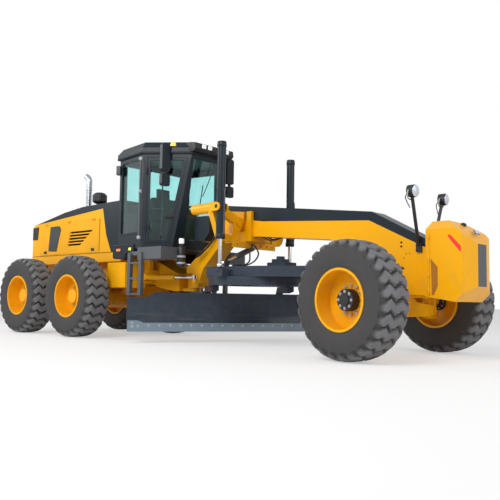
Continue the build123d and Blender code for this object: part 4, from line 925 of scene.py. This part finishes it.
    def inside(self):
        """The seat's armrests, a panel behind the seat, and the wiper on the screen."""
        arm_ys = (-0.3, 0.3)
        rest = block(0.3, 0.06, 0.045, 0.025, 0.012)
        rests = [at(rest, (-0.93, y, 2.1), (0, 0, 1), (0, 1, 0)) for y in arm_ys]
        posts = [tube([(-1.03, y, 1.95), (-1.0, y, 2.06), (-0.98, y, 2.11)], 0.018, 10, 8) for y in arm_ys]
        add("seat_armrests", joined(rests + posts), "black_trim", "chassis")
        panel = [(-1.36, 1.5), (-1.36, 2.02), (-1.3, 2.06), (-1.26, 2.02), (-1.26, 1.5)]
        add("rear_panel", plate(panel, -0.66, 0.66, 0.008), "black_trim", "chassis")
        wiper = joined([
            tube([(-0.038, 0.1, 2.86), (-0.075, 0.05, 2.6), (-0.128, -0.05, 2.3)], 0.007, 8, 20),
            tube([(-0.105, -0.07, 2.48), (-0.178, -0.1, 1.95)], 0.008, 8, 12, False),
        ])
        add("screen_wiper", wiper, "black_trim", "chassis")

    def filter(self):
        """A black filter bowl with two pale rings and a white cap that glows faintly as a painted highlight,
        hung ahead of the steps.
        """
        place = Matrix.Translation((-0.05, -0.55, 0))
        bowl = [
            (0.02, 1.13), (0.05, 1.14), (0.062, 1.17), (0.062, 1.43), (0.05, 1.45), (0.034, 1.46),
            (0.034, 1.5),
        ]
        cap = [(0.03, 1.495), (0.042, 1.5), (0.042, 1.565), (0.034, 1.578), (0.01, 1.582)]
        add("filter_bowl", turned(bowl, 28).moved(place), "black_trim", "chassis")
        # Painted highlight: the cap wears the white lens finish, whose glow makes it shine though it is no
        # lamp.
        add("filter_cap", turned(cap, 24).moved(place), "white_lens", "chassis")
        ring = turned([(0.058, -0.016), (0.068, -0.013), (0.068, 0.013), (0.058, 0.016)], 28)
        rings = [ring.moved(place @ Matrix.Translation((0, 0, z))) for z in (1.2, 1.3)]
        add("filter_rings", joined(rings), "pale_grey", "chassis")
        bracket = at(block(0.05, 0.12, 0.05, 0.006), (-0.12, -0.55, 1.37), (1, 0, 0))
        add("filter_bracket", bracket, "dark_paint", "chassis")


# ---------------------------------------------------------------- hood
class GRADER_OT_hood(Work, bpy.types.Operator):
    """Dark sheet of painted shade behind the grille, lamps, latches, seams and intake trim of the hood"""

    bl_idname = "grader.hood"
    bl_label = "Hood trim"

    def make(self, scene):
        self.back()
        self.doors()
        self.top()

    def back(self):
        """The dark sheet of painted shade behind the louvres, and the lamps at the hood's rear corners."""
        # Painted shade: a near-black sheet just inside each hood side stands for the shade in the engine bay
        # behind the louvres.
        shade_sheet = [(-3.86, 1.49), (-3.86, 2.0), (-2.3, 2.0), (-2.3, 1.49)]
        add("grille_shade_sheet", both(plate(shade_sheet, 0.555, 0.562, 0.001)), "shadow", "chassis")
        housing = [(-4.376, 1.76), (-4.376, 2.0), (-4.19, 2.01), (-4.17, 1.99), (-4.2, 1.76)]
        add("rear_lamp_housings", both(plate(housing, 0.59, 0.612, 0.006)), "black_trim", "chassis")
        lens = block(0.1, 0.2, 0.014, 0.02, 0.005)
        lenses = [at(lens, (-4.374, y, 1.88), (-1, 0, 0)) for y in (-0.5, 0.5)]
        add("rear_lamp_lenses", joined(lenses), "red_lens", "chassis")

    def doors(self):
        """Each hood door's two latches and the screen in its vent."""
        face_y = 0.601
        latch = block(0.09, 0.05, 0.01, 0.012, 0.003)
        latches = joined([at(latch, (x, face_y, 1.5), (0, 1, 0)) for x in (-3.9, -2.33)])
        outline = [
            (-3.795, 1.526), (-3.74, 1.978), (-3.434, 1.978), (-3.38, 1.908), (-3.446, 1.717), (-3.51, 1.512)
        ]
        screen = plate(outline, face_y, 0.606, 0.002)
        for side, s in SIDES:
            add(f"hood_latches_{side}", on_side(latches, s), "black_trim", f"hood_door_{side}")
            add(f"louvre_screen_{side}", on_side(screen, s), "vent_mesh", f"hood_door_{side}")

    def top(self):
        """Panel seams, the stack's clamps and breather, the pre-cleaner's ribs and two raised top panels."""
        side_y = 0.606
        seams = [
            tube([(-2.13, side_y, 1.46), (-2.13, side_y, 2.03)], 0.003, 6, 3, False),
            tube([(-4.36, side_y, 1.432), (-1.52, side_y, 1.432)], 0.003, 6, 3, False),
        ]
        add("hood_seams", both(joined(seams)), "shadow", "chassis")
        stack_y = -0.25
        band = turned([(0.05, -0.012), (0.058, -0.012), (0.058, 0.012), (0.05, 0.012)], 24)
        clamps = [band.moved(Matrix.Translation((-3.027, stack_y, z))) for z in (2.34, 2.68)]
        add("exhaust_clamps", joined(clamps), "zinc", "chassis")
        pipe = [(-3.14, -0.21, 2.17), (-3.14, -0.21, 2.5), (-3.13, -0.22, 2.78), (-3.12, -0.23, 2.8)]
        add("breather_pipe", tube(pipe, 0.013, 10, 20), "black_trim", "chassis")
        rib = block(0.006, 0.13, 0.006, 0.002, 0.001)
        reach = 0.126
        ribs = [
            at(rib, (-2.673 + reach * cos(a), stack_y + reach * sin(a), 2.48), (cos(a), sin(a), 0))
            for a in 2 * pi * np.arange(24) / 24
        ]
        add("cleaner_ribs", joined(ribs), "grey_trim", "chassis")
        raised = block(0.5, 0.8, 0.012, 0.03, 0.005)
        panels = [at(raised, (x, 0, z), (0.07, 0, 1), (0, 1, 0)) for x, z in ((-1.72, 2.242), (-3.62, 2.11))]
        add("hood_top_panels", joined(panels), "dark_paint", "chassis")


# ---------------------------------------------------------------- beam, saddle and hoses
# Routes of the hoses, each a list of points. The first two hang between the saddle and the drawbar.
DRAWBAR_ROUTES = [
    [
        (1.0, -0.1, 1.43), (1.14, -0.25, 1.46), (1.27, -0.31, 1.39), (1.32, -0.32, 1.3), (1.25, -0.32, 1.21),
        (1.1, -0.3, 1.16), (0.93, -0.29, 1.15),
    ],
    [
        (1.0, -0.06, 1.41), (1.08, -0.24, 1.39), (1.14, -0.3, 1.3), (1.13, -0.3, 1.21), (1.04, -0.29, 1.165),
        (0.93, -0.27, 1.16),
    ],
]
# Radius and route: two under the beam, then three beside the leg
FRAME_ROUTES = [
    (0.010, [
        (1.2, -0.12, 1.63), (1.28, -0.14, 1.55), (1.4, -0.14, 1.51), (1.53, -0.14, 1.52), (1.66, -0.12, 1.58),
    ]),
    (0.009, [
        (1.27, -0.1, 1.62), (1.34, -0.12, 1.55), (1.46, -0.12, 1.525), (1.6, -0.1, 1.56), (1.7, -0.1, 1.6),
    ]),
    (0.013, [
        (0.36, -0.19, 1.75), (0.33, -0.2, 1.62), (0.2, -0.22, 1.47), (0.1, -0.23, 1.40), (-0.02, -0.23, 1.36),
    ]),
    (0.013, [
        (0.34, -0.2, 1.68), (0.30, -0.21, 1.58), (0.17, -0.23, 1.44), (0.08, -0.24, 1.37),
        (-0.03, -0.25, 1.33),
    ]),
    (0.013, [
        (0.31, -0.21, 1.62), (0.26, -0.22, 1.53), (0.14, -0.24, 1.41), (0.05, -0.25, 1.34),
        (-0.04, -0.26, 1.30),
    ]),
]


class GRADER_OT_beam(Work, bpy.types.Operator):
    """Hoses, bolts and marks of the beam and the blade-lift saddle"""

    bl_idname = "grader.beam"
    bl_label = "Beam trim"

    def make(self, scene):
        self.hoses()
        self.fastenings()
        self.cylinders()

    def hoses(self):
        """The hoses with their end nuts, and the block on the drawbar that the two loops go into."""
        loops = joined([tube(route, 0.011, 8, 44) for route in DRAWBAR_ROUTES])
        add("drawbar_hoses", loops, "hose", ("front_frame", "drawbar"), ends=((1.1, 0, 1.4), (1.1, 0, 1.18)))
        fixed = joined([tube(route, radius, 8, 36) for radius, route in FRAME_ROUTES])
        add("frame_hoses", fixed, "hose", "front_frame")
        nut = turned([(0.014, -0.016), (0.018, -0.014), (0.018, 0.014), (0.014, 0.016)], 6)
        nuts = [at(nut, route[0], (1, -0.4, 0.1)) for route in DRAWBAR_ROUTES]
        add("hose_ends", joined(nuts), "zinc", "front_frame")
        manifold = at(block(0.16, 0.12, 0.045, 0.012, 0.004), (0.9, -0.28, 1.124), (0, 0, 1))
        add("drawbar_hose_block", manifold, "dark_paint", "drawbar")

    def fastenings(self):
        """Bolts on the saddle's back, and on the beam's sides above the axle the lugs and dark discs of
        painted shade in its holes.
        """
        beam_y = 0.16
        rows = ((0.196, 1.93), (0.196, 1.62), (0.13, 1.56))
        heads = bolts([(0.565, s * y, z) for y, z in rows for s in (1, -1)], (-1, 0, 0), 0.013)
        add("saddle_bolts", heads, "zinc", "front_frame")
        # Painted shade: near-black discs stand for the shade inside the holes in the beam's sides.
        large = turned([(0.013, 0), (0.013, 0.003), (0.01, 0.004)], 18)
        small = turned([(0.006, 0), (0.006, 0.003), (0.004, 0.004)], 12)
        hole_shades = [(large, 3.475, 1.379), (large, 3.474, 1.332)]
        hole_shades += [(small, 3.541, 1.24), (small, 3.581, 1.244), (small, 3.508, 1.189)]
        marks = joined([at(hole_shade, (x, beam_y, z), (0, 1, 0)) for hole_shade, x, z in hole_shades])
        add("bolster_holes", both(marks), "shadow", "front_frame")
        lug = plate([(3.43, 1.075), (3.51, 1.055), (3.512, 1.075), (3.445, 1.095)], beam_y, 0.172, 0.002)
        add("bolster_lugs", both(lug), "black_trim", "front_frame")

    def cylinders(self):
        """A gland at each end of the lift barrels, and a pipe up their front."""
        gland = [(0.063, 1.5), (0.069, 1.508), (0.069, 1.56), (0.063, 1.568)]
        top = [(0.063, 2.8), (0.068, 2.808), (0.068, 2.85), (0.06, 2.868), (0.03, 2.874)]
        glands = joined([turned(gland, 28), turned(top, 28)]).moved(Matrix.Translation((1.01, 0.78, 0)))
        pipe = tube(
            [(1.076, 0.79, 1.56), (1.086, 0.79, 1.7), (1.086, 0.79, 2.1), (1.08, 0.79, 2.2)], 0.009, 8, 20
        )
        for side, s in SIDES:
            add(f"lift_barrel_glands_{side}", on_side(glands, s), "dark_paint", f"lift_barrel_{side}")
            add(f"lift_barrel_pipes_{side}", on_side(pipe, s), "grey_trim", f"lift_barrel_{side}")


# ---------------------------------------------------------------- front
class GRADER_OT_front(Work, bpy.types.Operator):
    """Work lights, the nose weight's reflectors, hinge and lamp, and the front hubs"""

    bl_idname = "grader.front"
    bl_label = "Front trim"

    def make(self, scene):
        self.lights()
        self.nose()
        self.hubs()

    def lights(self):
        """Two round work lights in their yokes, each with a short cable."""
        housing = [(0.03, -0.052), (0.062, -0.046), (0.072, -0.03), (0.074, 0.03), (0.07, 0.04)]
        lens = [(0.068, 0.036), (0.068, 0.046), (0.05, 0.056), (0.02, 0.061), (0.003, 0.062)]
        place, aim = (3.752, 0.4, 1.945), (1, 0.1, -0.05)
        add("work_light_housings", both(at(turned(housing, 30), place, aim)), "black_trim", "front_frame")
        add("work_light_lenses", both(at(turned(lens, 30), place, aim)), "clear_lens", "front_frame")
        yoke = [
            (3.742, 0.318, 1.95), (3.728, 0.322, 1.9), (3.722, 0.345, 1.862), (3.72, 0.4, 1.852),
            (3.722, 0.455, 1.862), (3.728, 0.478, 1.9), (3.742, 0.482, 1.95),
        ]
        add("work_light_brackets", both(tube(yoke, 0.007, 8, 40)), "zinc", "front_frame")
        cable = [(3.7, 0.4, 1.94), (3.66, 0.4, 1.89), (3.672, 0.385, 1.83), (3.7, 0.365, 1.76)]
        add("work_light_cables", both(tube(cable, 0.006, 8, 24)), "hose", "front_frame")

    def nose(self):
        """Reflectors, glowing faintly as a painted highlight, and amber painted shade on the recess faces of
        the weight's sides, its hinge rods, and the knob and lamp on its top.
        """
        side_y = 0.377
        strip = [(4.161, 1.419), (4.2, 1.412), (4.318, 1.285), (4.316, 1.225), (4.305, 1.226), (4.178, 1.385)]
        # Painted highlight: the reflectors wear the red lens finish, whose faint glow makes them shine though
        # they are no lamp.
        add("nose_reflectors", both(plate(strip, side_y, 0.3835, 0.002)), "red_lens", "front_frame")
        recess = [(3.962, 1.155), (4.045, 1.06), (4.045, 0.845), (3.998, 0.745), (3.975, 0.745)]
        # Painted shade: thin plates on the recess faces are body yellow darkened to amber, the shade in the
        # recesses.
        add("nose_recess_faces", both(plate(recess, side_y, 0.3815, 0.001)), "amber_shade", "front_frame")
        hinge = (3.937, 0.386)
        rod = tube([(*hinge, 0.74), (*hinge, 1.45)], 0.009, 10, 6, False)
        knuckles = [
            turned([(0.013, low), (0.016, low + 0.004), (0.016, high - 0.004), (0.013, high)], 14)
            for low, high in ((0.76, 0.83), (0.94, 1.0), (1.12, 1.2), (1.38, 1.44))
        ]
        knuckles = [knuckle.moved(Matrix.Translation((*hinge, 0))) for knuckle in knuckles]
        add("nose_hinge_rods", both(joined([rod] + knuckles)), "body_paint", "front_frame")
        knob = turned([(0.034, 0), (0.034, 0.02), (0.02, 0.034), (0.004, 0.036)], 20)
        add("nose_knob", at(knob, (4.16, 0.05, 1.556), (0.27, 0, 1)), "black_trim", "front_frame")
        housing, pane = lamp(0.06, 0.13, 0.01, 0.012)
        place, out = (4.335, 0, 1.462), (0.86, 0, 0.51)
        add("nose_lamp_frame", at(housing, place, out, (0, 1, 0)), "grey_trim", "front_frame")
        add("nose_lamp", at(pane, place, out, (0, 1, 0)), "clear_lens", "front_frame")

    def hubs(self):
        """On each front wheel, a studded cap on the outside and a bolted drum on the inside."""
        cap = [
            (0.117, -0.02), (0.124, -0.012), (0.124, 0.082), (0.116, 0.094), (0.07, 0.098),
            (0.066, 0.112), (0.02, 0.115),
        ]
        drum = [
            (0.05, 0), (0.11, 0.004), (0.118, 0.02), (0.118, 0.05), (0.1, 0.06), (0.06, 0.07), (0.01, 0.072)
        ]
        half_turn = Matrix.Rotation(pi, 4, "X")
        for side, s in SIDES:
            hub = wheel_frame(joints[f"front_spin_{side}"])
            inward = Matrix.Identity(4) if s < 0 else half_turn
            outside = hub @ (half_turn @ inward)
            inside = hub @ inward @ Matrix.Translation((0, 0, 0.07))
            body = f"front_wheel_{side}"
            add(f"front_hub_cap_{side}", turned(cap, 36).moved(outside), "black_trim", body)
            add(f"front_hub_studs_{side}", bolt_circle(8, 0.093, 0.012, outside, 0.096), "zinc", body)
            add(f"front_hub_drum_{side}", turned(drum, 30).moved(inside), "black_trim", body)
            add(f"front_hub_bolts_{side}", bolt_circle(10, 0.09, 0.011, inside, 0.058), "zinc", body)


# ---------------------------------------------------------------- blade
class GRADER_OT_blade(Work, bpy.types.Operator):
    """Bolts and end bits of the blade's cutting edge"""

    bl_idname = "grader.blade"
    bl_label = "Blade"

    def make(self, scene):
        """Shapes in the blade's own frame, u out from the circle's middle and v along the blade, then
        turned.
        """
        place = Matrix.Translation((1.02, 0, 0)) @ Matrix.Rotation(radians(-31), 4, "Z")
        front = -0.443
        bit_depth = 0.014
        row = [(front, v, 0.262) for v in np.linspace(-1.52, 1.52, 20)]
        add("edge_bolts", bolts(row, (1, 0, 0), 0.012).moved(place), "zinc", "moldboard")
        outline = [(1.6, 0.172), (1.828, 0.172), (1.828, 0.335), (1.68, 0.335), (1.6, 0.305)]
        upright = facing((front, 0, 0), (1, 0, 0))
        bits = [slab([(s * v, z) for v, z in outline][::s], bit_depth, 0.003).moved(upright) for s in (1, -1)]
        add("end_bits", joined(bits).moved(place), "edge_steel", "moldboard")
        spots = ((1.68, 0.25), (1.76, 0.25), (1.76, 0.3))
        pins = [(front + bit_depth, s * v, z) for s in (1, -1) for v, z in spots]
        add("end_bit_bolts", bolts(pins, (1, 0, 0), 0.013).moved(place), "zinc", "moldboard")


# ---------------------------------------------------------------- stage
class GRADER_OT_stage(Work, bpy.types.Operator):
    """Pale floor, soft lights and the camera"""

    bl_idname = "grader.stage"
    bl_label = "Stage"

    def make(self, scene):
        self.floor()
        self.world(scene)
        self.lamp("key", (3.0, -10.0, 8.0), (0.0, 0, 0.9), 6.0, 900)
        self.lamp("fill", (10.0, 1.0, 4.5), (1.0, 0, 1.0), 5.0, 190)
        self.lamp("back", (-8.0, -6.0, 6.0), (-1.5, 0, 1.4), 4.0, 300)
        self.camera(scene)

    def floor(self):
        """A white square just under the tyres, brightened where the camera sees it."""
        reach, level = 60.0, -0.002
        mesh = bpy.data.meshes.new("floor")
        corners = [(x * reach, y * reach, level) for x, y in ((-1, -1), (1, -1), (1, 1), (-1, 1))]
        mesh.from_pydata(corners, [], [(0, 1, 2, 3)])
        made = bpy.data.objects.new("floor", mesh)
        bpy.context.scene.collection.objects.link(made)
        white = Finish("floor_white")
        white.set(Base_Color=(0.9, 0.9, 0.9), Roughness=0.75, Specular_IOR_Level=0.25)
        seen = white.node("ShaderNodeLightPath", {}, {}, "Is Camera Ray")
        glow = white.node("ShaderNodeEmission", {}, {"Color": (1, 1, 1, 1), "Strength": 1.0}, 0)
        blended = white.node("ShaderNodeMixShader", {}, {0: seen * 0.45, 2: glow})
        white.tree.links.new(white.shader.outputs[0], blended.socket.node.inputs[1])
        white.tree.links.new(blended.socket, white.tree.nodes["Material Output"].inputs[0])
        mesh.materials.append(white.material)

    def world(self, scene):
        """Soft white all round; the camera, mirrors and glass see plain white."""
        world = bpy.data.worlds.new("studio")
        scene.world = world
        world.use_nodes = True
        tree = world.node_tree
        background = tree.nodes["Background"]
        background.inputs["Color"].default_value = (1, 1, 1, 1)
        path = tree.nodes.new("ShaderNodeLightPath")
        seen = Signal(tree, path.outputs["Is Camera Ray"])
        gloss = Signal(tree, path.outputs["Is Glossy Ray"])
        through = Signal(tree, path.outputs["Is Transmission Ray"])
        direct = (seen + through) > 0.5
        strength = 0.42 + 0.58 * direct + 0.2 * gloss
        tree.links.new(strength.socket, background.inputs["Strength"])

    def lamp(self, name, place, aim, size, power):
        """A square area light whose back points from its aim to its place."""
        data = bpy.data.lights.new(name, "AREA")
        data.size = size
        data.energy = power
        made = bpy.data.objects.new(name, data)
        bpy.context.scene.collection.objects.link(made)
        made.location = Vector(place) + Vector((0, middle, 0))
        away = Vector(place) - Vector(aim)
        made.rotation_euler = away.to_track_quat("Z", "Y").to_euler()

    def camera(self, scene):
        """The camera looks along yaw and pitch, and its right and up are turned about that by roll."""
        sizes = scene.grader_stage
        data = bpy.data.cameras.new("camera")
        data.lens = sizes.lens
        data.sensor_width = 36.0
        data.clip_end = 300.0
        made = bpy.data.objects.new("camera", data)
        scene.collection.objects.link(made)
        ahead = Vector(
            (cos(sizes.pitch) * cos(sizes.yaw), cos(sizes.pitch) * sin(sizes.yaw), sin(sizes.pitch))
        )
        right = ahead.cross(Vector((0, 0, 1))).normalized()
        up = right.cross(ahead)
        turn = Matrix.Rotation(sizes.roll, 3, ahead)
        right, up = turn @ right, turn @ up
        basis = Matrix((right, up, -ahead)).transposed().to_4x4()
        made.matrix_world = Matrix.Translation(Vector(sizes.camera_place) + Vector((0, middle, 0))) @ basis
        scene.camera = made
        scene.view_settings.view_transform = "Standard"


class GRADER_PT_panel(bpy.types.Panel):
    """The grader's operators in the sidebar"""

    bl_label = "Grader"
    bl_idname = "GRADER_PT_panel"
    bl_space_type = "VIEW_3D"
    bl_region_type = "UI"
    bl_category = "Grader"

    def draw(self, context):
        for operator in OPERATORS:
            self.layout.operator(operator.bl_idname)


GROUPS = {"grader_tyres": GraderTyres, "grader_colours": GraderColours, "grader_stage": GraderStage}
OPERATORS = (
    GRADER_OT_frame, GRADER_OT_tyres, GRADER_OT_hubs, GRADER_OT_cab, GRADER_OT_hood, GRADER_OT_beam,
    GRADER_OT_front, GRADER_OT_blade, GRADER_OT_stage,
)


def register():
    for group in GROUPS.values():
        bpy.utils.register_class(group)
    for name, group in GROUPS.items():
        setattr(bpy.types.Scene, name, bpy.props.PointerProperty(type=group))
    for operator in OPERATORS:
        bpy.utils.register_class(operator)
    bpy.utils.register_class(GRADER_PT_panel)


def unregister():
    bpy.utils.unregister_class(GRADER_PT_panel)
    for operator in reversed(OPERATORS):
        bpy.utils.unregister_class(operator)
    for name in GROUPS:
        delattr(bpy.types.Scene, name)
    for group in reversed(GROUPS.values()):
        bpy.utils.unregister_class(group)


def main():
    """Runs every operator in turn."""
    register()
    for operator in OPERATORS:
        category, name = operator.bl_idname.split(".")
        getattr(getattr(bpy.ops, category), name)()


if __name__ == "__main__":
    main()
